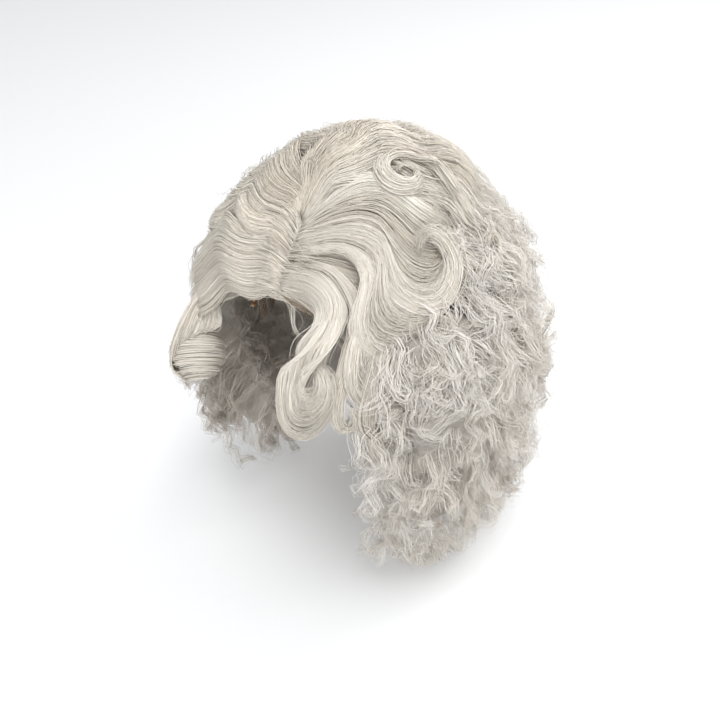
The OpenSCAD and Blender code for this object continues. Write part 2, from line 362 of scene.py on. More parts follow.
class Tree:
    """The node tree of one new material."""

    def __init__(self, name: str) -> None:
        """Makes a material with a Principled shader and nothing else.

        Args:
            name: the material's name.
        """
        self.material = bpy.data.materials.new(name)
        self.material.use_nodes = True
        self.nodes = self.material.node_tree.nodes
        self.links = self.material.node_tree.links
        self.shader = self.nodes["Principled BSDF"]

    def node(self, kind: str, settings: dict, inputs: dict, output: object = 0) -> Sock:
        """Adds a node.

        Args:
            kind: the node's type.
            settings: attributes of the node, or "stops" for a colour ramp's positions and colours.
            inputs: a value or a Sock for each input's name or number.
            output: the name or number of the output that is wanted.

        Returns:
            The wanted output.
        """
        made = self.nodes.new(kind)
        for key, value in settings.items():
            if key == "stops":
                ramp = made.color_ramp.elements
                while len(ramp) < len(value):
                    ramp.new(0.5)
                for element, (position, colour) in zip(ramp, value):
                    element.position, element.color = position, (*colour, 1)
            else:
                setattr(made, key, value)
        for key, value in inputs.items():
            self.feed(made.inputs[key], value)
        return Sock(self, made.outputs[output])

    def feed(self, socket: bpy.types.NodeSocket, value: object) -> None:
        """Links a Sock to an input, or sets the input's own value."""
        if isinstance(value, Sock):
            self.links.new(value.socket, socket)
        elif isinstance(value, tuple) and socket.type == "RGBA":
            socket.default_value = (*value, 1)
        else:
            socket.default_value = value

    def set(self, **inputs: object) -> None:
        """Sets or links inputs of the shader; an underscore in a name stands for a space."""
        for key, value in inputs.items():
            self.feed(self.shader.inputs[key.replace("_", " ")], value)

    def place(self) -> Sock:
        """The object coordinates."""
        return self.node("ShaderNodeTexCoord", {}, {}, "Object")

    def attribute(self, name: str) -> Sock:
        """A number kept on the mesh."""
        return self.node("ShaderNodeAttribute", {"attribute_name": name}, {}, "Fac")

    def axis(self, vector: Sock, index: int) -> Sock:
        """One coordinate of a vector."""
        return self.node("ShaderNodeSeparateXYZ", {}, {0: vector}, index)

    def noise(self, scale: float, detail: float = 3, vector: Sock | None = None) -> Sock:
        """Noise from 0 to 1 at a scale per metre."""
        where = vector or self.place()
        return self.node("ShaderNodeTexNoise", {}, {"Vector": where, "Scale": scale,
                "Detail": detail})  # fmt: skip

    def mix(self, factor: Sock | float, a: object, b: object) -> Sock:
        """Colour a where factor is 0 and colour b where it is 1."""
        return self.node("ShaderNodeMix", {"data_type": "RGBA"}, {0: factor, 6: a, 7: b}, 2)

    def ramp(self, value: Sock, stops: Sequence[tuple[float, tuple]]) -> Sock:
        """Colours along a value."""
        return self.node("ShaderNodeValToRGB", {"stops": stops}, {"Fac": value})

    def bump(self, height: Sock, distance: float, strength: float = 1.0) -> Sock:
        """A normal from a height, with distance in metres."""
        return self.node(
            "ShaderNodeBump", {}, {"Height": height, "Distance": distance, "Strength": strength}
        )


Colour = tuple[float, float, float]


@dataclass(frozen=True)
class StrandFinish:
    """The sheen and colours of strands: each has a tone of its own, and darkens to its root as
    painted shade under the hair.
    """

    name: str
    shade: Colour
    body: Colour
    light: Colour
    roughness: float
    streaks: float = 900

    def make(self) -> bpy.types.Material:
        """Builds the material."""
        tree = Tree(self.name)
        tone, along = tree.attribute("tone"), tree.attribute("along")
        stops = ((0.0, self.shade), (0.5, self.body), (1.0, self.light))
        streak = tree.noise(self.streaks, 2) * 0.16 - 0.08
        # painted shade: strands darken towards their roots, where they lie under the hair
        root = (1 - along) ** 3
        tree.set(
            Base_Color=tree.ramp(tone + streak - root * 0.06, stops),
            Roughness=tone * -0.1 + (self.roughness + 0.05),
        )
        return tree.material


@dataclass(frozen=True)
class BedFinish:
    """Packed hair under the loose strands, streaked down the head."""

    name: str
    deep: Colour
    face: Colour
    streaks: float = 140
    patches: float = 55
    relief: float = 1.2 * MM

    def make(self) -> bpy.types.Material:
        """Builds the material."""
        tree = Tree(self.name)
        flow = tree.attribute("flow")
        streak = tree.node("ShaderNodeTexNoise", {"noise_dimensions": "1D"},
                           {"W": flow * self.streaks, "Detail": 4})  # fmt: skip
        patch = tree.noise(self.patches, 3)
        tone = streak * 0.65 + patch * 0.5 - 0.1
        tree.set(
            Base_Color=tree.ramp(tone, ((0.25, self.deep), (0.75, self.face))),
            Roughness=0.55 + streak * 0.2,
            Normal=tree.bump(streak + patch, self.relief),
        )
        return tree.material


@dataclass(frozen=True)
class NetFinish:
    """Open net: square threads with holes between them."""

    name: str
    thread: Colour
    pitch: float
    width: float
    fibres: float = 260
    relief: float = 0.3 * MM

    def make(self) -> bpy.types.Material:
        """Builds the material."""
        tree = Tree(self.name)
        az, el = tree.attribute("net_u"), tree.attribute("net_v")
        turn = 2 * math.pi / self.pitch
        across, up = (az * turn).wave(), (el * turn).wave()
        thread = across.most(up)
        tint = tree.noise(self.fibres, 3)
        deep = tuple(0.72 * c for c in self.thread)
        tree.set(
            Base_Color=tree.mix(tint, deep, self.thread),
            Roughness=0.65 + tint * 0.2,
            Alpha=thread > 1 - self.width,
            Normal=tree.bump(thread, self.relief),
        )
        return tree.material


@dataclass(frozen=True)
class ClothFinish:
    """Woven tape or weft: fine ribs both ways and a little soiling."""

    name: str
    colour: Colour
    rib: float
    roughness: float = 0.8
    soiling: float = 90
    relief: float = 0.15 * MM

    def make(self) -> bpy.types.Material:
        """Builds the material."""
        tree = Tree(self.name)
        place = tree.place()
        turn = 2 * math.pi / self.rib
        ribs = (tree.axis(place, 2) * turn).wave() * (tree.axis(place, 0) * turn).wave()
        soil = tree.noise(self.soiling, 4)
        deep = tuple(0.7 * c for c in self.colour)
        tree.set(
            Base_Color=tree.mix(ribs * 0.5 + soil * 0.5, deep, self.colour),
            Roughness=self.roughness + soil * 0.15,
            Normal=tree.bump(ribs + soil, self.relief),
        )
        return tree.material


@dataclass(frozen=True)
class MetalFinish:
    """Plated steel with faint handling marks."""

    name: str
    colour: Colour = (0.62, 0.61, 0.60)
    scratches: float = 1400
    relief: float = 0.03 * MM

    def make(self) -> bpy.types.Material:
        """Builds the material."""
        tree = Tree(self.name)
        marks = tree.noise(self.scratches, 4)
        dull = tuple(0.7 * c for c in self.colour)
        tree.set(
            Base_Color=tree.mix(marks, dull, self.colour),
            Metallic=1.0,
            Roughness=0.28 + marks * 0.2,
            Normal=tree.bump(marks, self.relief),
        )
        return tree.material


@dataclass(frozen=True)
class CombFinish:
    """Moulded plastic, light brown, with flow marks."""

    name: str
    colour: Colour = (0.33, 0.19, 0.09)
    flow_marks: float = 420
    relief: float = 0.05 * MM

    def make(self) -> bpy.types.Material:
        """Builds the material."""
        tree = Tree(self.name)
        flow = tree.noise(self.flow_marks, 4)
        pale = tuple(min(1.0, 1.7 * c) for c in self.colour)
        tree.set(
            Base_Color=tree.mix(flow, self.colour, pale),
            Roughness=0.32 + flow * 0.15,
            Coat_Weight=0.2,
            Normal=tree.bump(flow, self.relief),
        )
        return tree.material


# ---- strands ----


@dataclass
class Strands:
    """Centre lines of many strands, all with the same number of points."""

    paths: np.ndarray
    radius: np.ndarray
    tone: np.ndarray

    @property
    def triangles(self) -> int:
        """How many triangles their tubes have."""
        return self.paths.shape[0] * self.paths.shape[1] * 2 * StrandMesh.sides

    def pick(self, keep: np.ndarray) -> "Strands":
        """Only the strands that keep names."""
        return Strands(self.paths[keep], self.radius[keep], self.tone[keep])


class StrandMesh:
    """Turns strands into one closed mesh of thin tubes."""

    sides = 3
    taper = 0.72  # the share of its width that a strand loses to its tip
    root_width = 0.6
    askew = np.array([0.31, 0.17, 0.93])  # a direction that no strand runs in

    def __init__(self) -> None:
        """Starts with nothing in the mesh."""
        self.corners: list[np.ndarray] = []
        self.quads: list[np.ndarray] = []
        self.caps: list[np.ndarray] = []
        self.tone: list[np.ndarray] = []
        self.along: list[np.ndarray] = []
        self.count = 0

    @property
    def triangles(self) -> int:
        """How many triangles the mesh will have."""
        return self.count * 2

    def add(self, strands: Strands) -> None:
        """Sweeps a ring of corners along every strand.

        Args:
            strands: the strands to add.
        """
        paths = strands.paths
        count, points, _ = paths.shape
        if not count:
            return
        ahead = unit(np.gradient(paths, axis=1))
        side = unit(np.cross(ahead[:, 0], self.askew))
        t = np.linspace(0, 1, points)
        width = 1 - self.taper * t**3
        width[0] *= self.root_width
        turn = np.arange(self.sides) * 2 * np.pi / self.sides
        rings = np.empty((count, points, self.sides, 3))
        for k in range(points):
            side = unit(side - ahead[:, k] * np.sum(side * ahead[:, k], -1, keepdims=True))
            other = np.cross(ahead[:, k], side)
            r = (strands.radius * width[k])[:, None, None]
            spoke = np.cos(turn)[None, :, None] * side[:, None]
            spoke = spoke + np.sin(turn)[None, :, None] * other[:, None]
            rings[:, k] = paths[:, k, None] + r * spoke
        base = self.count + np.arange(count)[:, None, None] * points * self.sides
        row = np.arange(points - 1)[None, :, None] * self.sides
        s = np.arange(self.sides)[None, None, :]
        n = (s + 1) % self.sides
        a, b = base + row + s, base + row + n
        self.quads.append(np.stack([a, b, b + self.sides, a + self.sides], -1).reshape(-1, 4))
        last = base[:, 0, 0] + (points - 1) * self.sides
        self.caps.append(np.stack([base[:, 0, 0] + k for k in (2, 1, 0)], -1))
        self.caps.append(np.stack([last + k for k in (0, 1, 2)], -1))
        self.corners.append(rings.reshape(-1, 3))
        self.tone.append(np.repeat(strands.tone, points * self.sides))
        self.along.append(np.tile(np.repeat(t, self.sides), count))
        self.count += count * points * self.sides

    def make(self, name: str) -> bpy.types.Object:
        """Makes the object.

        Args:
            name: the piece's name.

        Returns:
            The object, smooth shaded, with its tone and along attributes.
        """
        quads, caps = np.concatenate(self.quads), np.concatenate(self.caps)
        mesh = bpy.data.meshes.new(name)
        mesh.vertices.add(self.count)
        mesh.vertices.foreach_set("co", np.concatenate(self.corners).astype(np.float32).ravel())
        loops = np.concatenate([quads.ravel(), caps.ravel()]).astype(np.int32)
        mesh.loops.add(len(loops))
        mesh.loops.foreach_set("vertex_index", loops)
        starts = np.arange(len(quads)) * 4
        starts = np.concatenate([starts, 4 * len(quads) + np.arange(len(caps)) * 3])
        mesh.polygons.add(len(starts))
        mesh.polygons.foreach_set("loop_start", starts.astype(np.int32))
        for key, values in (("tone", self.tone), ("along", self.along)):
            layer = mesh.attributes.new(key, "FLOAT", "POINT")
            layer.data.foreach_set("value", np.concatenate(values).astype(np.float32))
        mesh.update(calc_edges=True)
        mesh.validate()
        mesh.shade_smooth()
        made = bpy.data.objects.new(name, mesh)
        bpy.context.scene.collection.objects.link(made)
        return made


# ---- hairdressing ----


class HairKind(Enum):
    """How hair is set, and the word for it in the pieces' names."""

    WAVES = "waves"
    RINGLETS = "ringlets"


@dataclass
class Sheet:
    """A lock of silky strands laid between guides that run side by side, root first.

    A guide's points are (azimuth, elevation, millimetres over the head form). A tail's points are
    places in millimetres, which carry its guide on past the form.
    """

    guides: Sequence[Guide]
    strands: int
    tails: Sequence[Guide] = ()
    depth: float = 5.0
    puff: float = 3.0
    fray: float = 1.0
    tone: float = 0.62
    radius: float = 0.27
    points: int = 18
    wave: float = 0.0
    wave_length: float = 46.0
    margin: float = 0.07
    thick: float = 1.6
    taper: float = 0.15
    ragged: float = 0.07
    gather: float = 0.0
    close: float = 0.85
    dive: float = 0.0
    skin_share: float = 0.75
    stray_share: float = 0.06
    stray: float = 3.0
    columns_each: int = 7
    backing_end: float = 0.93

    def lines(self, form: HeadForm) -> np.ndarray:
        """The guides as smooth lines, (n, points, 3)."""
        tails = self.tails or [()] * len(self.guides)
        placed = [np.vstack([form.guide(g), *(np.array([t]) * MM for t in tail)])
                  for g, tail in zip(self.guides, tails)]  # fmt: skip
        return np.stack([spline(p, self.points) for p in placed])

    def surface(self, lines: np.ndarray, u: np.ndarray) -> tuple[np.ndarray, np.ndarray,
            np.ndarray]:  # fmt: skip
        """The lock's outer face.

        Args:
            lines: the guides' lines.
            u: where each path lies across the lock, from 0 at the first guide.

        Returns:
            The paths, and the directions out of the head and across the lock along them.
        """
        n, points, _ = lines.shape
        i = np.clip(np.floor(u), 0, n - 2).astype(int)
        f = (u - i)[:, None, None]
        paths = lines[i] * (1 - f) + lines[i + 1] * f
        t = np.linspace(0, 1, points)[None, :, None]
        middle = lines.mean(0)[None]
        pinch = self.taper * t**2 + self.gather * (1 - rise(t / 0.22))
        paths = paths + (middle - paths) * pinch
        ahead = unit(np.gradient(paths, axis=1))
        out = unit(paths)
        across = unit(np.cross(ahead, out))
        out = np.cross(across, ahead)
        share = np.clip(u / (n - 1), 0, 1)[:, None, None]
        round_up = np.sqrt(np.maximum(np.sin(np.pi * share), 0)) - 1
        length = np.linalg.norm(np.diff(lines, axis=1), axis=2).sum(1).mean()
        phase = 2 * np.pi * t * length / (self.wave_length * MM) + 0.45 * u[:, None, None]
        grow = rise(t * 4)
        paths = paths + out * self.puff * MM * round_up * grow
        paths = paths + self.wave * MM * grow * (np.sin(phase) * across + 0.7 * np.cos(phase) * out)
        return paths, out, across

    def comb(self, form: HeadForm, rng: np.random.Generator) -> Strands:
        """Lays the strands.

        Args:
            form: the head form that the guides' heights are measured from.
            rng: the random numbers to use.

        Returns:
            The strands.
        """
        lines = self.lines(form)
        k = self.strands
        u = rng.uniform(-self.margin, 1 + self.margin, k) * (len(lines) - 1)
        paths, out, across = self.surface(lines, u)
        t = np.linspace(0, 1, self.points)[None, :, None]
        skin = rng.uniform(0, 1, k) < self.skin_share
        layer = np.where(skin, rng.uniform(-0.25, 0.1, k), rng.uniform(-1, 0, k))
        paths = paths + out * layer[:, None, None] * self.depth * MM * rise(t * 5)
        drift = rng.normal(0, 1, (2, k, 1, 1)) * self.fray * MM
        slow = rng.uniform(0, 2 * np.pi, (k, 1, 1))
        stray = np.where(rng.uniform(0, 1, (k, 1, 1)) < self.stray_share, self.stray, 1.0)
        loose = (0.35 + 1.3 * t**2) * stray
        sideways = drift[0] * across * np.sin(4 * t + slow)
        paths = paths + loose * (sideways + 0.5 * drift[1] * out * np.cos(5 * t + slow))
        start = rng.uniform(0, 0.05, k) ** 1.3
        paths = trimmed(paths, start, 1 - np.abs(rng.normal(0, self.ragged, k)).clip(0, 0.4))
        band = 0.08 * np.sin(u * 9.0 / (len(lines) - 1)) + 0.06 * np.sin(u * 23)
        tone = np.clip(rng.normal(self.tone, 0.12, k) + band, 0, 1)
        return Strands(paths, self.radius * MM * rng.uniform(0.6, 1.3, k), tone)

    def backing(self, form: HeadForm, name: str) -> bpy.types.Object:
        """Makes the closed ribbon of packed hair just under the strands.

        Args:
            form: the head form.
            name: the piece's name.

        Returns:
            The ribbon, with its flow attribute along the strands.
        """
        lines = self.lines(form)
        columns = self.columns_each * (len(lines) - 1) + 1
        u = np.linspace(0.0, len(lines) - 1, columns)
        paths, out, _ = self.surface(lines, u)
        t = np.linspace(0, 1, self.points)[None, :, None]
        sink = (0.35 * self.depth * rise(t * 5) + 0.3 * np.sin(u * 8)[:, None, None]) * MM
        sink = sink + self.dive * MM * rise((t - 0.62) / 0.3)
        middle = paths.mean(0)[None]
        paths = paths + (middle - paths) * self.close * rise((t - 0.72) / 0.28)
        top = paths - out * sink
        rounded = 0.25 + 0.75 * np.sin(np.pi * np.linspace(0.04, 0.96, columns))
        wall = self.thick * MM * rounded[:, None, None]
        flow = np.repeat(u[:, None], self.points, 1) + 0.1 * np.sin(t[..., 0] * 9)
        last = int(self.backing_end * self.points)
        return slab(name, top[:, :last], (top - out * wall)[:, :last], flow[:, :last] / 3)


def slab(name: str, top: np.ndarray, under: np.ndarray, flow: np.ndarray) -> bpy.types.Object:
    """Makes a closed slab from two grids of points.

    Args:
        name: the object's name.
        top: the upper grid, (columns, rows, 3).
        under: the lower grid, of the same shape.
        flow: a number for each point, which is kept on the mesh.

    Returns:
        The slab, with its faces outwards.
    """
    n = top.shape[0] * top.shape[1]
    index = np.arange(n).reshape(top.shape[:2])
    a, b, c, d = index[:-1, :-1], index[1:, :-1], index[1:, 1:], index[:-1, 1:]
    rim = np.concatenate([index[:, 0], index[-1, 1:], index[-2::-1, -1], index[0, -2:0:-1]])
    ahead = np.roll(rim, -1)
    quads = np.concatenate([
        np.stack([a, b, c, d], -1).reshape(-1, 4),
        np.stack([d, c, b, a], -1).reshape(-1, 4) + n,
        np.stack([ahead, rim, rim + n, ahead + n], -1),
    ])  # fmt: skip
    mesh = bpy.data.meshes.new(name)
    corners = np.concatenate([top.reshape(-1, 3), under.reshape(-1, 3)])
    mesh.from_pydata(corners.tolist(), [], quads.tolist())
    mesh.attributes.new("flow", "FLOAT", "POINT").data.foreach_set(
        "value", np.tile(flow.ravel(), 2).astype(np.float32)
    )
    work = bmesh.new()
    work.from_mesh(mesh)
    bmesh.ops.recalc_face_normals(work, faces=work.faces)
    work.to_mesh(mesh)
    work.free()
    mesh.shade_smooth()
    made = bpy.data.objects.new(name, mesh)
    bpy.context.scene.collection.objects.link(made)
    return made


@dataclass
class Ringlets:
    """Loose curls that hang along the outside of the hair over one range of directions."""

    azimuth: tuple[float, float]
    elevation: tuple[float, float]
    clumps: int
    per_clump: int
    length: tuple[float, float]
    depth: tuple[float, float] = (0.7, 0.97)
    tone: float = 0.5
    radius: float = 0.22
    points: int = 13
    spread: float = 3.3
    wave: tuple[float, float] = (0.4, 1.0)
    wave_length: tuple[float, float] = (24.0, 44.0)
    tip_turns: tuple[float, float] = (0.4, 1.25)
    frizz: float = 1.05
    stray: float = 0.12

    def bases(self, outline: Outline, rng: np.random.Generator) -> np.ndarray:
        """The middle line of each curl, (clumps, points, 3).

        Args:
            outline: the roots and the outside of the hair.
            rng: the random numbers to use.

        Returns:
            The lines.
        """
        c = self.clumps
        low, high = np.sin(np.radians(self.elevation))
        el = np.degrees(np.arcsin(rng.uniform(low, high, c)))
        az = rng.uniform(*self.azimuth, c)
        length = rng.uniform(*self.length, c) * MM
        heading = rng.normal(0, 0.3, c)
        sway = rng.uniform(*self.wave, c)
        phase, lift_phase = rng.uniform(0, 2 * np.pi, (2, c))
        turns = rng.uniform(*self.wave_length, c) * MM
        tip = rng.choice([-1.0, 1.0], c) * rng.uniform(*self.tip_turns, c) * 2 * np.pi
        start = rng.uniform(self.depth[0] - 0.12, self.depth[0] + 0.08, c)
        end = rng.uniform(self.depth[1] - 0.16, self.depth[1] + 0.02, c)
        tip_out = rng.uniform(-0.05, 0.1, c)
        places = np.empty((c, self.points, 3))
        step = length / (self.points - 1)
        for k in range(self.points):
            t = k / (self.points - 1)
            run = k * step
            lift = 0.06 * np.sin(2 * np.pi * run / turns + lift_phase)
            depth = start + (end - start) * rise(t * 2) + lift
            places[:, k] = outline.place(az, el, depth + tip_out * rise((t - 0.6) / 0.4))
            turn = heading + sway * np.sin(2 * np.pi * run / turns + phase)
            turn = turn + tip * max(0.0, (t - 0.5) / 0.5) ** 1.6
            radius = outline.radius(az, el)
            el = np.clip(el - np.degrees(step * np.cos(turn) / radius), -84, 86)
            round_about = np.maximum(np.cos(np.radians(el)), 0.3)
            az = az + np.degrees(step * np.sin(turn) / radius) / round_about
        return places

    def comb(self, outline: Outline, rng: np.random.Generator) -> Strands:
        """Lays the strands.

        Args:
            outline: the roots and the outside of the hair.
            rng: the random numbers to use.

        Returns:
            The strands.
        """
        base = self.bases(outline, rng)
        which = np.repeat(np.arange(self.clumps), self.per_clump)
        n = len(which)
        t = np.linspace(0, 1, self.points)[None, :, None]
        tone = rng.normal(self.tone, 0.12, self.clumps)
        paths = base[which]
        ahead = unit(np.gradient(paths, axis=1))
        out = unit(paths)
        out = unit(out - ahead * np.sum(out * ahead, -1, keepdims=True))
        across = np.cross(ahead, out)
        stray = (rng.uniform(0, 1, (n, 1, 1)) < self.stray).astype(float)
        shift = rng.normal(0, 1, (2, n, 1, 1)) * self.spread * MM * (1 + 0.9 * stray)
        gather = 1.0 - 0.55 * t
        wave = 2 * np.pi * rng.uniform(1.5, 4.5, (n, 1, 1)) * t
        wave = wave + rng.uniform(0, 2 * np.pi, (n, 1, 1))
        frizz = self.frizz * MM * rng.uniform(0.3, 1.4, (n, 1, 1)) * (1 + stray) * (0.5 + 0.8 * t)
        paths = paths + across * (shift[0] * gather + frizz * np.sin(wave))
        paths = paths + out * (0.7 * shift[1] * gather + 0.8 * frizz * np.cos(wave * 1.1))
        own_tone = np.clip(tone[which] + rng.normal(0, 0.10, n), 0, 1)
        return Strands(paths, self.radius * MM * rng.uniform(0.65, 1.3, n), own_tone)


class Hairdresser:
    """Combs all the hair that is fixed to the cap, and shares it out to the frame's hair nodes."""

    most = 190_000  # triangles in a piece

    def __init__(self, form: HeadForm, outline: Outline, finishes: "HairFinishes") -> None:
        """Keeps the form, the outline and the finishes.

        Args:
            form: the head form.
            outline: the roots and the outside of the hair.
            finishes: the materials of hair.
        """
        self.form, self.outline, self.finishes = form, outline, finishes
        self.rng = np.random.default_rng(11)
        self.batches: list[tuple[Strands, HairKind]] = []
        self.total = 0

    def hairline(self) -> None:
        """The thin first layer, from the parting to the hairline and the ears."""
        left = (
            ((-18, 67, 4), (10, 73, 9), (50, 76, 17), (94, 66, 26)),
            ((-12, 60, 4), (10, 63, 8), (45, 62, 15), (80, 50, 26)),
            ((-7, 52, 4), (12, 55, 7), (38, 51, 13), (64, 36, 28)),
            ((-5, 46, 4), (10, 49, 6), (28, 44, 12), (50, 26, 30)),
            ((-4, 42, 3), (8, 42, 4), (20, 38, 8), (38, 22, 29)),
        )
        right = (
            ((-20, 68, 4), (-40, 72, 8), (-66, 64, 16), (-88, 46, 26)),
            ((-13, 61, 4), (-30, 62, 7), (-52, 54, 14), (-72, 36, 27)),
            ((-8, 53, 4), (-20, 53, 6), (-36, 46, 12), (-54, 28, 28)),
            ((-5, 42, 3), (-14, 40, 4), (-24, 35, 8), (-38, 20, 28)),
        )
        for name, guides, strands, tone in (
            ("left_underlayer", left, 330, 0.5), ("right_underlayer", right, 260, 0.45),
        ):  # fmt: skip
            self._lock(name, Sheet(guides, strands, depth=2, puff=0.5, tone=tone, fray=1.2,
                                   margin=0.02, taper=0, close=0, ragged=0.12))  # fmt: skip

    def roots(self) -> None:
        """Short roots that cross the parting, and a few fine hairs over the forehead."""
        left = (
            ((-10, 41, 4), (-2, 42, 7), (9, 42, 11)),
            ((-14, 54, 5), (2, 57, 10), (22, 56, 18)),
            ((-24, 65, 6), (-10, 72, 12), (20, 76, 24)),
        )
        right = (
            ((0, 42, 4), (-10, 41, 8), (-21, 37, 14)),
            ((-2, 55, 5), (-17, 56, 12), (-34, 53, 23)),
            ((-10, 67, 6), (-34, 72, 14), (-58, 68, 27)),
        )
        for guides in (left, right):
            self._comb(Sheet(guides, 170, depth=2, puff=1.5, fray=1.6, tone=0.62, taper=0,
                             ragged=0.3, points=12))  # fmt: skip
        wisp = ((3, 40, 4), (8, 36, 10), (13, 31, 15), (21, 30, 21))
        wisp_in = ((8, 40, 6), (11, 34, 13), (16, 31, 17), (23, 34, 22))
        self._comb(Sheet((wisp, wisp_in), 11, depth=2, fray=2.6, tone=0.6, radius=0.14, ragged=0.4,
                         taper=-1.2, margin=0.4))  # fmt: skip

    def left_waves(self) -> None:
        """The waves that sweep from the parting to the wearer's left."""
        crest = ((-20, 67, 6), (-12, 74, 12), (8, 80, 22), (42, 83, 30), (72, 80, 36), (80, 75, 38),
                 (88, 68, 38), (96, 62, 36), (104, 56, 36))  # fmt: skip
        crest_low = ((-16, 66, 6), (0, 70, 13), (18, 73, 22), (42, 74, 30), (62, 72, 35),
                     (72, 67, 37), (78, 61, 36), (86, 56, 34), (94, 50, 34))  # fmt: skip
        upper = ((-15, 65, 6), (7, 67, 12), (28, 68, 20), (46, 67, 26), (57, 62, 30), (58, 56, 31),
                 (60, 51, 32), (65, 46, 34), (72, 44, 38), (80, 47, 40), (86, 51, 42))  # fmt: skip
        upper_low = ((-12, 62, 6), (8, 64, 12), (26, 65, 19), (43, 63, 25), (53, 59, 28),
                     (54, 54, 30), (53, 48, 31), (54, 42, 33), (60, 38, 36), (68, 37, 38),
                     (76, 39, 40))  # fmt: skip
        lower = ((-10, 59, 6), (9, 61, 12), (27, 63, 18), (42, 60, 24), (50, 55, 28), (49, 50, 29),
                 (44, 45, 29), (41, 40, 29), (41, 35, 31), (45, 31, 33), (53, 29, 35), (62, 31, 38),
                 (71, 36, 41))  # fmt: skip
        trough = ((-8, 56, 5), (9, 58, 11), (25, 60, 17), (37, 57, 22), (42, 50, 25), (38, 44, 27),
                  (35, 38, 29), (36, 30, 31), (41, 24, 34), (50, 20, 36), (60, 20, 39),
                  (70, 24, 42), (79, 30, 44))  # fmt: skip
        # tones are partly painted light: the crest is set lighter as a painted highlight on top, the
        # inner and middle locks darker as painted shade between locks
        self._lock("crest_wave", Sheet((crest, crest_low), 400, puff=6, tone=0.86))
        self._lock("inner_wave", Sheet((crest_low, upper), 200, puff=1.5, tone=0.5, depth=8,
                fray=1.6))  # fmt: skip
        self._lock("upper_wave", Sheet((upper, upper_low), 330, puff=4.5, tone=0.64))
        self._lock("middle_wave", Sheet((upper_low, lower), 250, puff=3, tone=0.55, depth=7))
        self._lock("lower_wave", Sheet((lower, trough), 310, puff=4, tone=0.68))

    def brow_lock(self) -> None:
        """The thick lock that falls from the front of the parting to the left brow."""
        inner = ((-4, 42, 4), (4, 43, 6), (12, 43, 9), (19, 40, 15), (20, 35, 22), (17, 30, 28),
                 (17, 26, 32), (19, 22, 35))  # fmt: skip
        middle = ((-4, 46, 5), (6, 49, 9), (18, 48, 15), (26, 43, 21), (26, 37, 26), (22, 32, 30),
                  (21, 27, 34), (23, 22, 36))  # fmt: skip
        outer = ((-4, 50, 5), (9, 54, 10), (23, 52, 16), (32, 45, 20), (33, 39, 25), (30, 33, 30),
                 (27, 27, 34), (27, 22, 36))  # fmt: skip
        self._lock("brow_lock", Sheet((inner, middle, outer), 430, depth=7, puff=5, tone=0.68,
                ragged=0.1, close=0.5))  # fmt: skip
        side = ((8, 54, 10), (24, 53, 15), (34, 45, 20), (36, 38, 24), (35, 31, 29), (33, 25, 33),
                (36, 18, 36), (40, 12, 38))  # fmt: skip
        side_out = ((10, 56, 10), (28, 54, 16), (39, 46, 21), (41, 38, 26), (40, 31, 31),
                    (40, 24, 35), (44, 17, 38), (49, 12, 40))  # fmt: skip
        self._lock("brow_side_lock", Sheet((side, side_out), 180, depth=6, puff=3, fray=2.0,
                tone=0.58, ragged=0.15))  # fmt: skip

    def right_waves(self) -> None:
        """The finger waves from the parting to the wearer's right, down to the temple curl."""
        guides = (((-26, 68, 6), (-50, 76, 20), (-84, 71, 36), (-102, 60, 46), (-108, 47, 50),
                   (-110, 34, 52)), ((-24, 67, 6), (-40, 71, 17), (-64, 65, 31), (-82, 55, 43),
                   (-92, 43, 49), (-98, 29, 52)), ((-16, 62, 6), (-31, 63, 15), (-49, 58, 28),
                   (-66, 50, 41), (-76, 40, 49), (-84, 25, 53)), ((-10, 57, 6), (-23, 57, 13),
                   (-40, 53, 25), (-54, 46, 38), (-63, 36, 48), (-70, 22, 53)),
                   ((-6, 49, 5), (-18, 49, 11), (-31, 45, 20), (-42, 38, 33), (-49, 29, 43),
                   (-54, 16, 49)), ((-4, 41, 4), (-13, 40, 7), (-23, 36, 13), (-31, 30, 24),
                   (-35, 23, 34), (-37, 13, 42)),)  # fmt: skip
        # the low tones, darkest at the back, are painted shade on the wearer's right side
        for name, part, strands, wave, wave_length, puff, tone, ragged in (
            ("right_wave_back", guides[:3], 400, 3.6, 58, 2, 0.4, 0.14),
            ("right_wave_upper", guides[2:4], 400, 4.2, 54, 4, 0.46, 0.12),
            ("right_wave_lower", guides[3:], 520, 3.4, 54, 4, 0.52, 0.07),
        ):
            self._lock(name, Sheet(part, strands, wave=wave, wave_length=wave_length, puff=puff,
                                   tone=tone, taper=0, close=0.2, ragged=ragged))  # fmt: skip

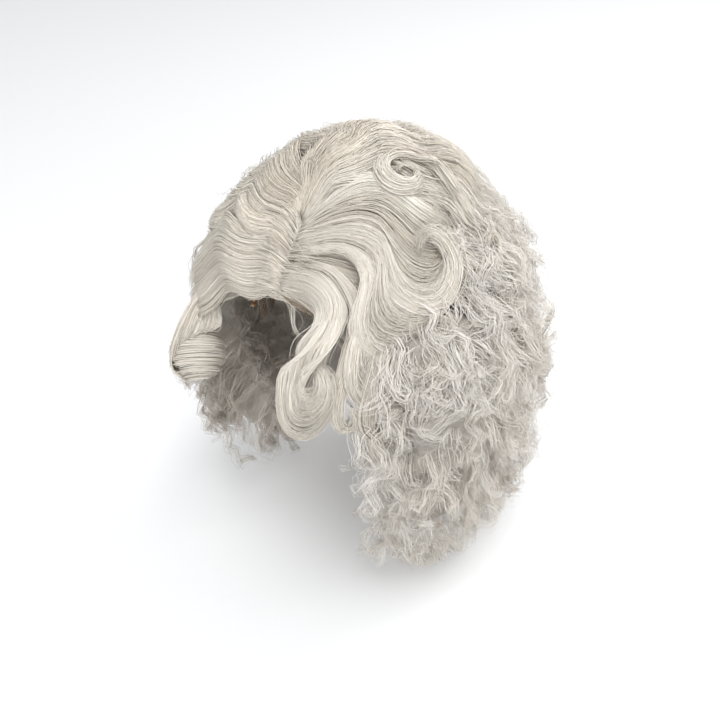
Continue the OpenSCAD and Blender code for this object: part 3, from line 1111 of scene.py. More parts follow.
    def crown(self) -> None:
        """Hair that runs from the back of the parting over the crown and down the back."""
        guides = [((-17, 67, 6), (-4, 74, 17), (50, 80, 31), (94, 68, 37), (102, 56, 41),
                   (106, 44, 44), (108, 34, 45)), ((-18, 67, 6), (-6, 76, 19), (62, 84, 33),
                   (104, 73, 39), (110, 58, 43), (113, 42, 45), (114, 30, 46)),
                   ((-18, 68, 6), (-14, 79, 22), (130, 86, 36), (132, 74, 41), (132, 60, 46),
                   (132, 42, 47), (132, 28, 47)), ((-20, 68, 6), (-20, 80, 24), (170, 84, 41),
                   (160, 72, 42), (158, 58, 45), (157, 40, 46), (157, 26, 46)),
                   ((-22, 68, 6), (-30, 80, 26), (200, 84, 42), (190, 72, 42), (188, 57, 45),
                   (187, 40, 46), (187, 26, 46)), ((-24, 68, 6), (-44, 80, 27), (235, 82, 42),
                   (222, 70, 42), (218, 55, 46), (216, 38, 46), (215, 24, 46)),
                   ((-25, 68, 6), (-56, 78, 26), (262, 77, 40), (252, 65, 43), (248, 50, 46),
                   (246, 34, 47), (245, 22, 47)), ((-26, 68, 6), (-48, 75, 19), (276, 70, 34),
                   (262, 58, 42), (256, 44, 47), (254, 30, 48), (253, 20, 48)),]  # fmt: skip
        # crown_left's higher tone is painted light on the lit side; crown_back's and crown_right's
        # lower tones are painted shade
        for name, part, strands, wave_length, tone in (
            ("crown_left", guides[:4], 350, 46, 0.6),
            ("crown_back", guides[3:6], 290, 50, 0.46),
            ("crown_right", guides[5:], 260, 50, 0.44),
        ):
            self._lock(name, Sheet(part, strands, depth=8, wave=3.8, wave_length=wave_length,
                                   tone=tone, taper=0, close=0.1, fray=3.0, ragged=0.3, puff=2,
                                   points=20, dive=12))  # fmt: skip

    def curled_ends(self) -> None:
        """The open curls where the left waves end, and the round ones over the cheek."""
        loop = ((44, 52, 24), (52, 43, 31), (60, 37, 36), (69, 35, 40), (77, 38, 43), (83, 44, 45),
                (84, 52, 45), (79, 58, 43), (73, 58, 41), (68, 55, 39))  # fmt: skip
        loop_in = ((52, 54, 24), (58, 47, 31), (64, 42, 36), (70, 41, 39), (75, 43, 41),
                   (79, 47, 43), (79, 52, 43), (76, 55, 42), (72, 55, 40),
                   (69, 52, 39))  # fmt: skip
        self._lock("ear_loop", Sheet((loop, loop_in), 190, depth=5, puff=2, fray=2.4, tone=0.68,
                gather=0.3, taper=0.3, ragged=0.2, points=24))  # fmt: skip
        fill = ((56, 48, 24), (68, 42, 30), (80, 40, 35), (92, 44, 38), (100, 50, 39))
        fill_out = ((60, 60, 24), (72, 58, 30), (82, 58, 35), (92, 60, 37), (100, 62, 38))
        self._lock("ear_fill", Sheet((fill, fill_out), 130, depth=5, puff=1, fray=2.6, tone=0.5,
                taper=0, close=0.1, wave=2.5, wave_length=22, ragged=0.25))  # fmt: skip
        gap = ((20, 76, 16), (56, 76, 24), (84, 68, 30), (98, 60, 33), (108, 50, 37))
        gap_out = ((30, 84, 20), (80, 82, 28), (100, 72, 34), (108, 62, 38), (114, 50, 40))
        self._lock("crest_fill", Sheet((gap, gap_out), 130, depth=5, puff=1, fray=2.2, tone=0.5,
                taper=0, close=0.1, wave=2, wave_length=30, ragged=0.2))  # fmt: skip
        small = ((36, 40, 16), (32, 26, 30), (29, 14, 38), (29, 6, 40), (32, 1, 40), (37, 4, 41),
                 (37, 11, 41), (33, 13, 40))  # fmt: skip
        small_in = ((40, 40, 16), (37, 26, 30), (33, 14, 38), (32, 8, 40), (33, 5, 40), (35, 6, 41),
                    (35, 9, 41), (33, 11, 40))  # fmt: skip
        self._lock("cheek_loop", Sheet((small, small_in), 120, depth=4, puff=2, fray=1.4, tone=0.58,
                gather=0.6, taper=0.4, ragged=0.12))  # fmt: skip
        big = ((50, 42, 18), (41, 24, 36), (36, 10, 43), (37, 2, 45), (42, -3, 45), (50, -1, 46),
               (52, 8, 46), (46, 13, 45), (39, 9, 44))  # fmt: skip
        big_in = ((56, 42, 18), (48, 24, 36), (42, 11, 43), (41, 6, 45), (43, 1, 45), (48, 2, 46),
                  (49, 7, 46), (45, 9, 45), (42, 7, 44))  # fmt: skip
        self._lock("cheek_round", Sheet((big, big_in), 160, depth=4, puff=3, fray=1.5, tone=0.56,
                gather=0.6, taper=0.4, ragged=0.12, points=24))  # fmt: skip
        flick = ((88, 44, 34), (97, 38, 42), (104, 34, 46), (110, 37, 48), (110, 43, 49),
                 (104, 46, 49), (99, 43, 48))  # fmt: skip
        flick_in = ((90, 48, 34), (98, 42, 42), (103, 38, 46), (107, 39, 48), (107, 42, 49),
                    (104, 44, 49), (101, 42, 48))  # fmt: skip
        self._lock("back_loop", Sheet((flick, flick_in), 100, depth=4, puff=2, fray=1.6, tone=0.6,
                gather=0.6, taper=0.4, ragged=0.15))  # fmt: skip

    def ringlets(self) -> None:
        """The frizzy body: rows of loose curls, all round but for the face."""
        # row tones are partly painted light and shade: top rows lighter, rows on the wearer's right
        # (negative azimuth) and deep rows near the roots darker
        rows = (Ringlets((82, 262), (50, 74), 60, 13, (50, 90), tone=0.72),
                Ringlets((98, 264), (32, 60), 54, 12, (40, 80), depth=(1.0, 1.04), tone=0.62),
                Ringlets((96, 262), (36, 60), 60, 13, (50, 90), tone=0.6),
                Ringlets((84, 268), (16, 44), 80, 13, (50, 95), tone=0.52),
                Ringlets((62, 98), (14, 44), 40, 13, (40, 75), tone=0.6),
                Ringlets((44, 72), (22, 36), 36, 13, (50, 90), depth=(0.62, 0.97), tone=0.6),
                Ringlets((40, 240), (-10, 20), 100, 12, (60, 100), tone=0.52),
                Ringlets((-118, -62), (2, 40), 40, 12, (60, 100), tone=0.4),
                Ringlets((38, 240), (-34, -4), 94, 12, (60, 100), tone=0.5),
                Ringlets((-120, -52), (-32, 6), 50, 12, (60, 100), tone=0.3),
                Ringlets((42, 240), (-54, -28), 84, 12, (50, 90), tone=0.48, tip_turns=(0.1, 0.8)),
                Ringlets((-120, -50), (-54, -26), 50, 12, (50, 90), tone=0.24),
                Ringlets((38, 52), (-36, 22), 26, 12, (50, 90), depth=(0.35, 0.8), tone=0.55),
                Ringlets((-66, -52), (-36, 20), 24, 12, (50, 90), depth=(0.35, 0.8), tone=0.25),
                Ringlets((40, 122), (-50, 26), 36, 11, (60, 90), depth=(0.04, 0.08), tone=0.36),
                Ringlets((-122, -52), (-50, 22), 44, 11, (60, 90), depth=(0.04, 0.08), tone=0.16),
                Ringlets((-88, -48), (-60, 0), 60, 12, (50, 80), depth=(0.12, 0.6), tone=0.16),
                Ringlets((122, 238), (-60, -24), 42, 11, (50, 80), depth=(0.03, 0.14), tone=0.34),
                Ringlets((43, 80), (-56, 2), 34, 11, (50, 80), depth=(0.02, 0.1), tone=0.36),
                Ringlets((-74, -53), (-52, 4), 34, 11, (50, 80), depth=(0.02, 0.08), tone=0.16),
                Ringlets((36, 100), (-54, -42), 24, 8, (60, 95), depth=(0.9, 1.02), tone=0.6,
                wave=(0.2, 0.7)),)  # fmt: skip
        for row in rows:
            self.batches.append((row.comb(self.outline, self.rng), HairKind.RINGLETS))

    def flyaways(self) -> None:
        """Single fine hairs that stand off the outline in open loops."""
        rows = (Ringlets((-114, -70), (18, 60), 40, 1, (24, 50), depth=(1.0, 1.08), radius=0.14,
                         tone=0.6, spread=0.1, wave=(0.3, 1.2), tip_turns=(0.4, 1.4), frizz=1.5),
                         Ringlets((98, 262), (0, 74), 150, 1, (30, 70), depth=(0.99, 1.09),
                         radius=0.15, tone=0.6, spread=0.1, wave=(0.3, 1.2), tip_turns=(0.4, 1.6),
                         frizz=2.0), Ringlets((42, 306), (-60, 0), 220, 1, (30, 70),
                         depth=(0.99, 1.07), radius=0.15, tone=0.6, spread=0.1, wave=(0.3, 1.2),
                         tip_turns=(0.4, 1.6), frizz=2.0),)  # fmt: skip
        for row in rows:
            self.batches.append((row.comb(self.outline, self.rng), HairKind.RINGLETS))

    def _comb(self, sheet: Sheet) -> None:
        """Combs one silky lock with nothing under it."""
        self.batches.append((sheet.comb(self.form, self.rng), HairKind.WAVES))

    def _lock(self, name: str, sheet: Sheet) -> None:
        """Combs one silky lock over its backing.

        Args:
            name: the lock's name.
            sheet: where it lies.
        """
        self._comb(sheet)
        backing = sheet.backing(self.form, f"{name}_backing")
        backing.data.materials.append(self.finishes.silky_bed)
        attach(backing, "cap")

    def pieces(self) -> None:
        """Makes the pieces of each hair node, from the strands whose middles lie in it."""
        for index, node in enumerate(HAIR_NODES):
            for kind in HairKind:
                mine = []
                for strands, set_as in self.batches:
                    if set_as is kind:
                        middle = strands.paths[:, strands.paths.shape[1] // 2]
                        mine.append(strands.pick(self.outline.owners(middle) == index))
                self._spin(node, kind, [strands for strands in mine if len(strands.paths)])

    def _spin(self, node: str, kind: HairKind, batches: Sequence[Strands]) -> None:
        """Makes one node's strands of one kind, in as many pieces as they need.

        Args:
            node: the frame's node that they stand for.
            kind: how the strands are set.
            batches: the strands.
        """
        mesh, made = StrandMesh(), []
        for strands in batches:
            if mesh.triangles + strands.triangles > self.most:
                made.append(mesh)
                mesh = StrandMesh()
            mesh.add(strands)
        made += [mesh] if mesh.count else []
        combed = kind is HairKind.WAVES
        for number, full in enumerate(made):
            piece = full.make(f"{node}_{kind.value}" + (f"_{number + 1}" if number else ""))
            piece.data.materials.append(self.finishes.silky if combed else self.finishes.frizzy)
            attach(piece, "cap")
            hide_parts(node)
            log.info("%s: %d triangles", piece.name, full.triangles)
            self.total += full.triangles


@dataclass
class HairFinishes:
    """The materials of hair."""

    silky: bpy.types.Material
    frizzy: bpy.types.Material
    silky_bed: bpy.types.Material
    frizzy_bed: bpy.types.Material

    @staticmethod
    def mixed() -> "HairFinishes":
        """Cream for the combed waves, and a cooler white for the frizzy body."""
        return HairFinishes(
            StrandFinish(
                "silky_strands", (0.66, 0.59, 0.49), (0.80, 0.74, 0.65), (0.97, 0.93, 0.85), 0.33
            ).make(),
            StrandFinish(
                "frizzy_strands", (0.60, 0.53, 0.46), (0.85, 0.80, 0.73), (0.97, 0.94, 0.90), 0.34
            ).make(),
            BedFinish("combed_bed", (0.62, 0.56, 0.47), (0.84, 0.78, 0.69)).make(),
            BedFinish("frizzy_bed", (0.60, 0.54, 0.47), (0.84, 0.79, 0.72)).make(),
        )


# ---- the curls that swing ----


@dataclass
class Roll:
    """A barrel roll, wound in the plane of its first two axes.

    Its strands may pass the places of a lead first, and spread there as lead_across says. Its angles
    run from the first axis. It narrows at its ends by round_ends, from 0 to 1, and its strands wander
    by loose millimetres.
    """

    centre: np.ndarray
    axes: tuple[np.ndarray, np.ndarray, np.ndarray]
    turn: tuple[float, float]
    radius: tuple[float, float]
    half_width: float
    strands: int
    lead: Sequence[np.ndarray] = ()
    lead_across: Sequence[np.ndarray] = ()
    tone: float = 0.7
    round_ends: float = 0.55
    loose: float = 0.9
    points: int = 34
    columns: int = 9

    def path(self, v: np.ndarray, scale: np.ndarray) -> np.ndarray:
        """Paths of hair round the roll.

        Args:
            v: where each path lies along the roll, -1 to 1.
            scale: each path's share of the winding's radius.

        Returns:
            The paths, (n, points, 3).
        """
        right, up, along = self.axes
        angle = np.radians(np.linspace(*self.turn, self.points - 6))[None, :, None]
        wind = np.linspace(0, 1, self.points - 6)
        reach = self.radius[0] + (self.radius[1] - self.radius[0]) * wind**0.9
        r = reach[None] * (np.sqrt(1 - self.round_ends * v**2) * scale)[:, None]
        coil = (
            self.centre
            + r[..., None] * (np.cos(angle) * right + np.sin(angle) * up)
            + (v * self.half_width)[:, None, None] * along * (1 - 0.35 * wind)[None, :, None]
        )
        if not len(self.lead):
            return coil
        sides = np.stack(self.lead_across or [along] * len(self.lead))
        start = np.stack(self.lead)[None] + (v * self.half_width * 0.85)[:, None,
                None] * sides[None]  # fmt: skip
        return np.stack([spline(line, self.points) for line in np.concatenate([start, coil], 1)])

    def comb(self, rng: np.random.Generator) -> Strands:
        """Lays the strands.

        Args:
            rng: the random numbers to use.

        Returns:
            The strands.
        """
        k = self.strands
        v = np.sin(rng.uniform(-1.35, 1.35, k))
        scale = rng.uniform(0.9, 1.03, k)
        paths = self.path(v, scale) + rng.normal(0, 0.35 * MM, (k, 1, 3))
        t = np.linspace(0, 1, paths.shape[1])[None, :, None]
        drift = rng.normal(0, self.loose * MM, (k, 1, 3))
        paths += drift * np.sin(t * 5 + rng.uniform(0, 6, (k, 1, 1)))
        radius = rng.uniform(0.22, 0.36, k) * MM
        return Strands(paths, radius, np.clip(rng.normal(self.tone, 0.14, k), 0, 1))

    def backing(self, name: str) -> bpy.types.Object:
        """Makes the closed ribbon of packed hair just under the strands.

        Args:
            name: the piece's name.

        Returns:
            The ribbon.
        """
        grid = np.linspace(-1, 1, self.columns)
        top = self.path(grid, np.full(self.columns, 0.93))
        under = self.path(grid, np.full(self.columns, 0.84))
        return slab(name, top, under, np.repeat(grid[:, None], top.shape[1], 1))


class SwingingCurl:
    """A curl made on its own: strands and backings that ride on one body."""

    hinged = ("brow_curl_left", "temple_curl_right")

    def __init__(self, node: str, form: HeadForm, finishes: HairFinishes, seed: int) -> None:
        """Keeps what the curl is for.

        Args:
            node: the frame's node, which is also the body's name where the curl is hinged.
            form: the head form.
            finishes: the materials of hair.
            seed: the start of its random numbers.
        """
        self.node, self.form, self.finishes = node, form, finishes
        self.rng = np.random.default_rng(seed)
        self.mesh = StrandMesh()
        self.parts: list[bpy.types.Object] = []
        self.body = node if node in self.hinged else "cap"

    def lock(self, name: str, sheet: Sheet) -> None:
        """Adds a lock along guides."""
        self.mesh.add(sheet.comb(self.form, self.rng))
        self.parts.append(sheet.backing(self.form, f"{name}_backing"))

    def roll(self, name: str, roll: Roll) -> None:
        """Adds a barrel roll."""
        self.mesh.add(roll.comb(self.rng))
        self.parts.append(roll.backing(f"{name}_backing"))

    def make(self) -> None:
        """Makes the pieces."""
        strands = self.mesh.make(f"{self.node}_strands")
        strands.data.materials.append(self.finishes.silky)
        for part in self.parts:
            part.data.materials.append(self.finishes.silky_bed)
        for part in (strands, *self.parts):
            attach(part, self.body)
            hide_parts(self.node)
        log.info("%s: %d triangles", self.node, self.mesh.triangles)


def brow_curl(form: HeadForm, finishes: HairFinishes) -> None:
    """The curl at the left brow: a stem that coils in on itself, and a small curl beside it."""
    curl = SwingingCurl("brow_curl_left", form, finishes, 21)
    coil = ((28, 47, 12), (24, 35, 30), (20, 28, 38), (15, 23, 41), (14, 16, 41), (14, 8, 41),
            (16, 1, 40), (21, -1, 39), (26, 4, 40), (30, 12, 41), (31, 19, 39), (29, 23, 36),
            (25, 25, 33), (22, 24, 31))  # fmt: skip
    coil_in = ((32, 47, 12), (31, 35, 29), (27, 28, 37), (23, 25, 40), (20.5, 22, 41),
               (20.5, 19, 41), (21.5, 17.5, 40), (23, 17.5, 39), (24.5, 18.5, 40), (25, 20.5, 40),
               (24.5, 22, 38), (24, 23, 35), (23, 23, 33), (22, 22, 31))  # fmt: skip
    curl.lock("brow_coil", Sheet((coil, coil_in), 330, depth=4, puff=3, fray=1.5, tone=0.68,
            points=34, gather=0.2, taper=0.15, ragged=0.12))  # fmt: skip
    side = ((36, 36, 26), (34, 27, 35), (34, 19, 39), (37, 13, 41), (42, 11, 41), (45, 15, 40),
            (42, 19, 38))  # fmt: skip
    side_in = ((40, 36, 26), (38, 28, 34), (37, 21, 38), (38, 16, 40), (41, 14, 40), (43, 16, 39),
               (42, 18, 38))  # fmt: skip
    curl.lock("brow_side_curl", Sheet((side, side_in), 90, depth=3, puff=2, fray=1.6, tone=0.62,
            gather=0.4, taper=0.3, ragged=0.2))  # fmt: skip
    curl.make()


def temple_curl(form: HeadForm, finishes: HairFinishes) -> None:
    """The barrel curl at the right temple, rolled up and away from the face."""
    low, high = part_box("temple_curl_right")
    curl = SwingingCurl("temple_curl_right", form, finishes, 22)
    middle = np.array([(low.x + high.x) / 2, (low.y + high.y) / 2, low.z + 22 * MM])
    right, ahead, up = np.array([0.78, 0.62, 0.0]), np.array([0.62, -0.78, 0.0]), np.array([0, 0,
            1.0])  # fmt: skip
    along, facing = 0.64 * up - 0.77 * ahead, 0.64 * ahead + 0.77 * up
    lead = (middle + (up * 57 + right * 28 - ahead * 22) * MM,
            middle + (up * 46 + right * 13 - ahead * 18) * MM,
            middle + (up * 27 + right * 5 + ahead) * MM,
            middle + (up * 13 - right * 10 + ahead * 3) * MM)  # fmt: skip
    across = (right * 0.15, right * 0.3, unit(right - up * 0.15 - ahead * 0.2) * 0.85,
              unit(right * 0.6 + along))  # fmt: skip
    curl.roll("temple_roll", Roll(
        middle, (right, facing, along), (176, -290), (22 * MM, 16 * MM), 21 * MM, 350, lead, across,
        tone=0.68, round_ends=0.92, loose=1.1,
    ))  # fmt: skip
    curl.make()


def pin_curl(form: HeadForm, finishes: HairFinishes) -> None:
    """The flat coil pinned on the crown."""
    low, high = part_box("pin_curl")
    curl = SwingingCurl("pin_curl", form, finishes, 23)
    middle = np.array((low + high) / 2)
    out = unit(middle)
    right = unit(np.cross(np.array([0, -1.0, 0.3]), out))
    up = np.cross(out, right)
    lead = (middle - right * 30 * MM - up * 22 * MM - out * 6 * MM,
            middle - right * 8 * MM - up * 24 * MM)  # fmt: skip
    curl.roll("pin_coil", Roll(
        middle - out * MM, (right, up, out), (-80, 400), (23 * MM, 5 * MM), 7 * MM, 250, lead,
        tone=0.64, loose=1.6,
    ))  # fmt: skip
    curl.make()


# ---- the bed of hair under the strands ----


@dataclass
class HairBed:
    """A lumpy shell of packed hair, part way between the roots and the outside."""

    name: str
    azimuth: tuple[float, float]
    elevation: tuple[float, float]
    depth: tuple[float, float]
    edge: float = 14.0
    inner: float = 0.02
    columns: int = 90
    rows: int = 40

    def make(self, outline: Outline, finish: bpy.types.Material) -> None:
        """Makes the closed shell, thin at its side edges.

        Args:
            outline: the roots and the outside of the hair.
            finish: its material.
        """
        az = np.linspace(*self.azimuth, self.columns + 1)[:, None] + np.zeros(self.rows + 1)
        el = np.linspace(*self.elevation, self.rows + 1)[None, :] + np.zeros((self.columns + 1, 1))
        share = np.linspace(*self.depth, self.rows + 1)[None, :]
        inward = np.minimum(az - self.azimuth[0], self.azimuth[1] - az) / self.edge
        to_edge = 1 - rise(inward / 1.5)
        side = np.sign(az - sum(self.azimuth) / 2)
        notch = 2.2 * ripple(el * 9) + 1.1 * ripple(el * 21 + 60) - 2.0
        upward = np.minimum(el - self.elevation[0], 90) / 12
        share = share * (0.12 + 0.88 * rise(inward)) * (0.3 + 0.7 * rise(upward))
        lump = (
            0.5 * ripple(az * 9 + 40 * ripple(el * 5))
            + 0.5 * ripple(el * 11 + az * 3.1)
            + 0.35 * ripple(az * 23 - el * 7)
        )
        if self.elevation[0] < 0:
            hem = 1 - rise((el - self.elevation[0]) / 14)
            el = el + hem * (1.2 + 0.6 * ripple(az * 19) + 0.4 * ripple(az * 41) + 12 * to_edge)
            az = az + side * to_edge * notch
        top = outline.place(az, el, np.clip(share + 0.035 * lump * rise(inward), 0.06, 1))
        under = outline.place(az, el, np.full_like(az, self.inner))
        flow = az / 60 + 0.25 * ripple(el * 7) + 0.1 * ripple(az * 5 + el * 3)
        piece = slab(self.name, top, under, flow)
        piece.data.materials.append(finish)
        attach(piece, "cap")


BEDS = (
    HairBed("crown_bed", (74, 290), (26, 89), (0.7, 0.74)),
    HairBed("side_bed_left", (44, 131), (-65, 30), (0.6, 0.8), edge=9),
    HairBed("back_bed", (107, 253), (-64, 30), (0.6, 0.78)),
    HairBed("side_bed_right", (-131, -54), (-64, 27), (0.66, 0.8), edge=9),
)


# ---- the sewn cap ----


@dataclass(frozen=True)
class Panel:
    """One cut piece of the cap: its node, the body that it rides on, and its finish's slot."""

    node: str
    slot: str
    body: str = "cap"


PANELS = (
    Panel("lace_front", "lace"),
    Panel("parting_strip", "lace"),
    Panel("crown_net", "cap_net"),
    Panel("side_panel_left", "cap_net"),
    Panel("side_panel_right", "cap_net"),
    Panel("back_panel", "cap_net"),
    Panel("nape_panel", "cap_net"),
    Panel("ear_tab_left", "cap_net", "ear_tab_left"),
    Panel("ear_tab_right", "cap_net", "ear_tab_right"),
    Panel("edge_tape", "edge_tape"),
    *(Panel(f"weft_row_{row}", "weft_track") for row in range(1, 10)),
)
KEPT = {
    "temple_comb_left": "comb", "temple_comb_right": "comb", "nape_comb": "comb",
    "adjuster_strap_left": "elastic", "adjuster_strap_right": "elastic",
    "strap_slider_left": "comb", "strap_slider_right": "comb",
    "strap_hook_left": "steel", "strap_hook_right": "steel",
    "hook_eyes_left": "steel", "hook_eyes_right": "steel",
    "tab_stay_left": "steel", "tab_stay_right": "steel",
}  # fmt: skip


@dataclass
class Cap:
    """The sewn cap: nets, tapes, wefts, stitches, knots and hardware."""

    form: HeadForm
    stitch: float = 2.6 * MM
    thread: float = 0.22 * MM
    knot: float = 0.32 * MM
    around: float = 0.088
    upward: float = 0.1
    probe: float = 5.0
    hairline: tuple[tuple[float, ...], ...] = ((0, 15, 30, 45, 58), (40, 38, 28, 18, 12))
    parting_rows: tuple[float, ...] = (-5.2, -3.4, -1.4, 0.8, 3.0, 5.0)
    finishes: dict[str, bpy.types.Material] = field(init=False)

    def __post_init__(self) -> None:
        """Makes the finishes."""
        self.finishes = {
            "lace": NetFinish("lace_mesh", (0.62, 0.50, 0.38), 1.3 * MM, 0.30).make(),
            "cap_net": NetFinish("cap_mesh", (0.36, 0.27, 0.19), 2.4 * MM, 0.36).make(),
            "edge_tape": ClothFinish("edge_ribbon", (0.42, 0.32, 0.23), 0.9 * MM).make(),
            "weft_track": ClothFinish("weft_braid", (0.70, 0.64, 0.54), 1.1 * MM).make(),
            "elastic": ClothFinish("elastic_web", (0.40, 0.31, 0.23), 0.8 * MM, 0.7).make(),
            "comb": CombFinish("comb_plastic").make(),
            "steel": MetalFinish("plated_wire").make(),
            "thread": ClothFinish("sewing_thread", (0.55, 0.46, 0.36), 0.5 * MM).make(),
        }

    def make(self, nodes: dict[str, bpy.types.Object]) -> None:
        """Dresses all the cap.

        Args:
            nodes: the frame's nodes by name.
        """
        for panel in PANELS:
            self.panel(panel, nodes[panel.node])
        for node, slot in KEPT.items():
            dress(nodes[node], self.finishes[slot])
        self.seams(nodes)
        self.knots()

    def panel(self, panel: Panel, node: bpy.types.Object) -> None:
        """Makes one cut piece smooth, and gives its net its own measure round and up the head.

        Args:
            panel: the piece.
            node: its node.
        """
        mesh = node.data.copy()
        work = bmesh.new()
        work.from_mesh(mesh)
        bmesh.ops.remove_doubles(work, verts=work.verts, dist=0.01 * MM)
        work.to_mesh(mesh)
        work.free()
        mesh.materials.clear()
        mesh.materials.append(self.finishes[panel.slot])
        piece = bpy.data.objects.new(f"{panel.node}_cloth", mesh)
        bpy.context.scene.collection.objects.link(piece)
        corners = np.array([v.co for v in mesh.vertices])
        az, el = angles(corners)
        around = np.radians(az) * self.around * np.maximum(np.cos(np.radians(el)), 0.25)
        up = np.radians(el) * self.upward
        for key, values in (("net_u", around), ("net_v", up)):
            layer = mesh.attributes.new(key, "FLOAT", "POINT")
            layer.data.foreach_set("value", values.astype(np.float32))
        mesh.shade_smooth()
        mesh.set_sharp_from_angle(angle=math.radians(50))
        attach(piece, panel.body)
        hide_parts(panel.node)
        log.info("%s: %d corners", piece.name, len(corners))

    def edge(self, node: bpy.types.Object, upper: bool, inset: float, lift: float) -> np.ndarray:
        """A line along the upper or lower edge of a cut piece.

        Args:
            node: the piece's node.
            upper: True for the upper edge.
            inset: degrees in from the edge.
            lift: the line's height over the head form.

        Returns:
            The line's points, a stitch apart.
        """
        corners = np.array([v.co for v in node.data.vertices])
        az, el = angles(corners)
        if np.any(az > 150) and np.any(az < -150):
            az = az % 360
        bins = np.arange(math.floor(az.min()), az.max() + 2.6, self.probe)
        if az.max() - az.min() > 350:
            bins = bins[:-1]
        found = [(b, el[np.abs(az - b) < 3]) for b in bins]
        sign = -1 if upper else 1
        end = np.max if upper else np.min
        rows = np.array([(b, end(e) + sign * inset) for b, e in found if len(e)])
        points = self.form.point(rows[:, 0], rows[:, 1], np.full(len(rows), lift))
        length = np.linalg.norm(np.diff(points, axis=0), axis=1).sum()
        return spline(points, max(4, int(length / self.stitch)))

    def seams(self, nodes: dict[str, bpy.types.Object]) -> None:
        """Zigzag stitches along the pieces' edges and straight ones along the wefts."""
        zigzag = (("lace_front", True, 0.8, 1.5), ("lace_front", False, 0.6, 1.5),
                  ("crown_net", False, 0.8, 1.5), ("side_panel_left", True, 0.8, 1.5),
                  ("side_panel_right", True, 0.8, 1.5), ("back_panel", True, 0.8, 1.5),
                  ("back_panel", False, 0.8, 1.5), ("nape_panel", True, 0.8, 1.5),
                  ("edge_tape", True, 0.5, 3.4), ("edge_tape", False, 0.5, 3.4),)  # fmt: skip
        mesh = StrandMesh()
        for name, upper, inset, lift in zigzag:
            mesh.add(self.stitches(self.edge(nodes[name], upper, inset, lift * MM), 0.9 * MM))
        for row in range(1, 10):
            line = self.edge(nodes[f"weft_row_{row}"], True, 1.2, 3.4 * MM)
            mesh.add(self.stitches(line, 0.5 * MM))
        piece = mesh.make("cap_stitches")
        piece.data.materials.append(self.finishes["thread"])
        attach(piece, "cap")
        log.info("cap_stitches: %d triangles", mesh.triangles)

    def stitches(self, line: np.ndarray, swing: float) -> Strands:
        """Short threads along a line, each across it to the other side.

        Args:
            line: the line's points, a stitch apart.
            swing: how far each side is from the line.

        Returns:
            The threads.
        """
        ahead = unit(np.gradient(line, axis=0))
        out = unit(line)
        across = np.cross(ahead, out)
        side = np.where(np.arange(len(line)) % 2, swing, -swing)[:, None]
        ends = line + across * side
        start, end = ends[:-1], ends[1:]
        t = np.array([0.04, 0.3, 0.7, 0.96])[None, :, None]
        paths = start[:, None] * (1 - t) + end[:, None] * t
        paths = paths + out[:-1, None] * np.array([-0.3, 0.2, 0.2, -0.3])[None, :, None] * MM
        n = len(paths)
        return Strands(paths, np.full(n, self.thread), np.full(n, 0.5))

    def knots(self) -> None:
        """Hair knots tied into the lace, in rows beside the parting and along the hairline."""
        rng = np.random.default_rng(31)
        low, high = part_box("parting_strip")
        along = np.linspace(39.5, 68, 26)
        places = []
        for x in self.parting_rows:
            el = along + rng.normal(0, 0.4, len(along))
            sideways = (x + rng.normal(0, 0.35, len(along))) * MM + (low.x + high.x) / 2
            points = self.form.point(np.zeros(len(along)), el, np.full(len(along), 3.1 * MM))
            points[:, 0] += sideways
            places.append(points)
        sweep = np.arange(-56, 57, 2)
        heights = np.interp(np.abs(sweep), *self.hairline)
        hairline = [(az, el + row) for az, el in zip(sweep, heights) for row in (0.8, 1.9)]
        rim = np.array(hairline) + rng.normal(0, 0.25, (len(hairline), 2))
        places.append(self.form.point(rim[:, 0], rim[:, 1], np.full(len(rim), 1.4 * MM)))
        spots = np.concatenate(places)
        out = unit(spots)
        t = np.array([-0.5, 0.0, 0.5])[None, :, None] * self.knot * 2.2
        paths = spots[:, None] + rng.normal(0, 1, (len(spots), 1, 3)) * t * 0.4 + out[:, None] * t
        mesh = StrandMesh()
        mesh.add(Strands(paths, np.full(len(spots), self.knot), np.full(len(spots), 0.9)))
        piece = mesh.make("hair_knots")
        piece.data.materials.append(self.finishes["weft_track"])
        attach(piece, "cap")


def dress(node: bpy.types.Object, finish: bpy.types.Material) -> None:
    """Gives a kept node a finish in every material slot."""
    for holder in node.material_slots:
        holder.material = finish


# ---- the stage ----


@dataclass(frozen=True)
class Lamp:
    """A square soft lamp that faces the middle of the head."""

    name: str
    place: tuple[float, float, float]
    size: float
    power: float

    def hang(self) -> None:
        """Adds the lamp."""
        bpy.ops.object.light_add(type="AREA", location=self.place)
        lamp = bpy.context.object
        lamp.name = self.name
        lamp.data.size = self.size
        lamp.data.energy = self.power
        lamp.rotation_euler = (-Vector(self.place)).to_track_quat("-Z", "Y").to_euler()


LAMPS = (
    Lamp("key", (0.45, -0.35, 1.7), 0.9, 17.0),
    Lamp("fill", (1.6, -0.7, 0.7), 1.2, 7.0),
    Lamp("rim", (0.5, 1.5, 1.1), 1.0, 9.0),
)


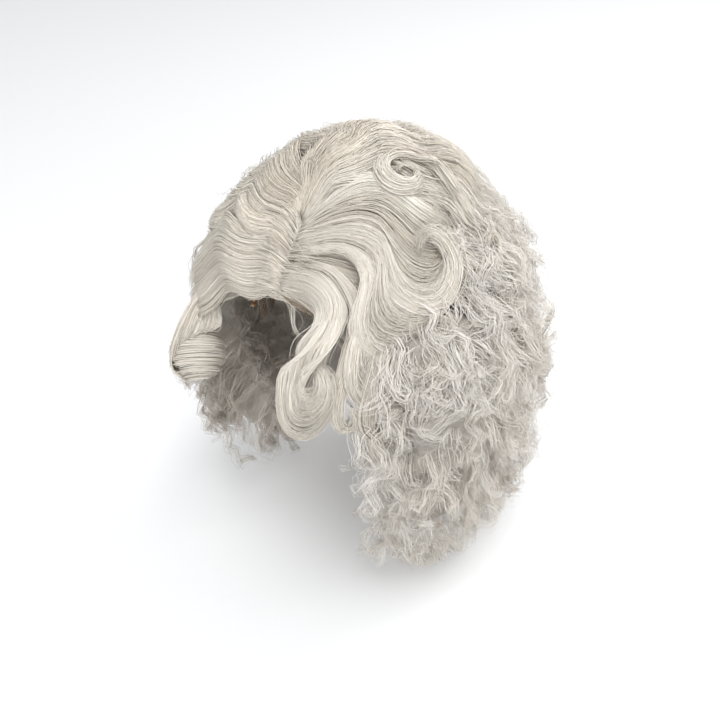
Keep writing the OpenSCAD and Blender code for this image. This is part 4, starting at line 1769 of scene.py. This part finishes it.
@dataclass
class Stage:
    """Floor, soft light and the camera."""

    azimuth: float = 39.24
    elevation: float = 42.83
    roll: float = -3.22
    distance: float = 0.6
    lens: float = 37.0
    aim: tuple[float, float, float] = (8.69 * MM, -13.42 * MM, -33.27 * MM)
    floor_gap: float = 2 * MM
    floor_size: float = 12.0
    room_colour: Colour = (0.96, 0.98, 1.0)
    room_strength: float = 0.78

    def camera(self) -> None:
        """Adds the camera, above and to the wearer's left of the face."""
        a, e = math.radians(self.azimuth), math.radians(self.elevation)
        back = Vector((math.sin(a) * math.cos(e), -math.cos(a) * math.cos(e), math.sin(e)))
        bpy.ops.object.camera_add(location=Vector(self.aim) + back * self.distance)
        camera = bpy.context.object
        turn = (-back).to_track_quat("-Z", "Y") @ Quaternion((0, 0, 1), math.radians(self.roll))
        camera.rotation_euler = turn.to_euler()
        camera.data.lens = self.lens
        camera.data.clip_start = 0.01
        bpy.context.scene.camera = camera

    def floor(self, height: float) -> None:
        """Adds a plain pale floor.

        Args:
            height: the lowest place of the wig on Z, which the floor is just under.
        """
        place = (0, 0, height - self.floor_gap)
        bpy.ops.mesh.primitive_plane_add(size=self.floor_size, location=place)
        floor = bpy.context.object
        floor.name = "floor"
        tree = Tree("floor_paper")
        tree.set(Base_Color=(0.9, 0.9, 0.9), Roughness=0.9)
        floor.data.materials.append(tree.material)
        floor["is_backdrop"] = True

    def light(self) -> None:
        """Adds soft light from all round, with a broad key from above and in front."""
        world = bpy.data.worlds.new("room")
        bpy.context.scene.world = world
        world.use_nodes = True
        background = world.node_tree.nodes["Background"].inputs
        background["Color"].default_value = (*self.room_colour, 1)
        background["Strength"].default_value = self.room_strength
        for lamp in LAMPS:
            lamp.hang()
        bpy.context.scene.view_settings.view_transform = "Standard"


def main() -> None:
    """Builds the wig's looks in order."""
    logging.basicConfig(level=logging.INFO, format="%(name)s: %(message)s")
    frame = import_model()
    cad_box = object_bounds()
    form = HeadForm()
    outline = Outline(frame["nodes"])
    stage = Stage()
    stage.camera()
    stage.light()
    stage.floor(cad_box[0].z)

    Cap(form).make(frame["nodes"])
    finishes = HairFinishes.mixed()
    dresser = Hairdresser(form, outline, finishes)
    dresser.hairline()
    dresser.roots()
    dresser.left_waves()
    dresser.brow_lock()
    dresser.right_waves()
    dresser.crown()
    dresser.curled_ends()
    dresser.ringlets()
    dresser.flyaways()
    dresser.pieces()
    log.info("hair on the cap: %d triangles", dresser.total)
    brow_curl(form, finishes)
    temple_curl(form, finishes)
    pin_curl(form, finishes)
    for bed in BEDS:
        bed.make(outline, finishes.frizzy_bed)


if __name__ == "__main__":
    main()
